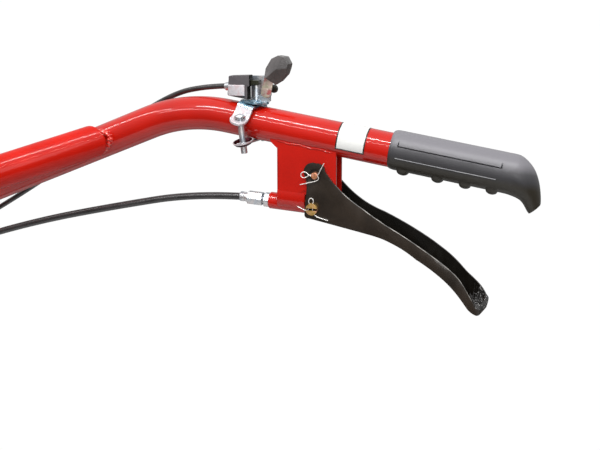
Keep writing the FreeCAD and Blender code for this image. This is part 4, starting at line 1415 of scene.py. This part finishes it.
def set_camera(scene):
    """The camera, turned about the point that it aims at."""
    camera = bpy.data.cameras.new("camera")
    camera.lens = CAMERA_LENS
    camera.sensor_width = CAMERA_SENSOR
    seen = bpy.data.objects.new("camera", camera)
    level = math.cos(CAMERA_ELEVATION)
    back = Vector((math.sin(CAMERA_AZIMUTH) * level, -math.cos(CAMERA_AZIMUTH) * level,
                   math.sin(CAMERA_ELEVATION)))
    seen.location = CAMERA_AIM + back * CAMERA_AWAY
    seen.rotation_euler = (-back).to_track_quat("-Z", "Y").to_euler()
    scene.collection.objects.link(seen)
    scene.camera = seen


class HANDLEBAR_OT_stage(bpy.types.Operator):
    """Sets the pale floor, the soft studio light and the camera"""
    bl_idname = "handlebar.stage"
    bl_label = "Stage"

    def execute(self, context):
        context.scene.view_settings.view_transform = "Standard"
        for step in (lay_floor, light_studio, hang_lamps, set_camera):
            step(context.scene)
        return {"FINISHED"}


class HANDLEBAR_PG_settings(bpy.types.PropertyGroup):
    """What a user would change about the arm's looks"""
    enamel_colour: FloatVectorProperty(
        name="Tube enamel", description="Colour of the enamel on the tubes and the bracket",
        default=linear("#BC1506")[:3], subtype="COLOR", min=0.0, max=1.0)
    lever_colour: FloatVectorProperty(
        name="Lever enamel", description="Colour of the enamel on the clutch lever",
        default=linear("#29211A")[:3], subtype="COLOR", min=0.0, max=1.0)
    grip_colour: FloatVectorProperty(
        name="Grip rubber", description="Colour of the grip at its middle",
        default=linear("#424144")[:3], subtype="COLOR", min=0.0, max=1.0)
    split_pin_radius: FloatProperty(
        name="Split pin radius", description="Radius of the wire of both split pins",
        default=0.42 * MM, min=0.0002, max=0.001, unit="LENGTH")
    label_border: FloatProperty(
        name="Label border", description="Width of the black line round the label",
        default=1.3 * MM, min=0.0002, max=0.004, unit="LENGTH")
    floor_height: FloatProperty(
        name="Floor height", description="Height of the floor in the arm's frame",
        default=-0.85, unit="LENGTH")
    floor_reach: FloatProperty(
        name="Floor reach", description="Half the side of the square floor",
        default=1.0, min=0.1, unit="LENGTH")


class HANDLEBAR_PT_panel(bpy.types.Panel):
    """Lists the settings and the steps that make the arm"""
    bl_label = "Handlebar"
    bl_idname = "HANDLEBAR_PT_panel"
    bl_space_type = "VIEW_3D"
    bl_region_type = "UI"
    bl_category = "Handlebar"

    def draw(self, context):
        settings = context.scene.handlebar
        for name in settings.__annotations__:
            self.layout.prop(settings, name)
        for operator in OPERATORS:
            self.layout.operator(operator.bl_idname)


OPERATORS = (HANDLEBAR_OT_finishes, HANDLEBAR_OT_arm_tube, HANDLEBAR_OT_brace,
             HANDLEBAR_OT_welds, HANDLEBAR_OT_label, HANDLEBAR_OT_bracket, HANDLEBAR_OT_pins,
             HANDLEBAR_OT_adjuster, HANDLEBAR_OT_clutch_lever, HANDLEBAR_OT_grip,
             HANDLEBAR_OT_throttle_clamp, HANDLEBAR_OT_throttle, HANDLEBAR_OT_cables,
             HANDLEBAR_OT_stage)
CLASSES = (HANDLEBAR_PG_settings, *OPERATORS, HANDLEBAR_PT_panel)


def register():
    for cls in CLASSES:
        bpy.utils.register_class(cls)
    bpy.types.Scene.handlebar = PointerProperty(type=HANDLEBAR_PG_settings)


def unregister():
    del bpy.types.Scene.handlebar
    for cls in reversed(CLASSES):
        bpy.utils.unregister_class(cls)


def main():
    register()
    for operator in OPERATORS:
        group, action = operator.bl_idname.split(".")
        getattr(getattr(bpy.ops, group), action)()


if __name__ == "__main__":
    main()
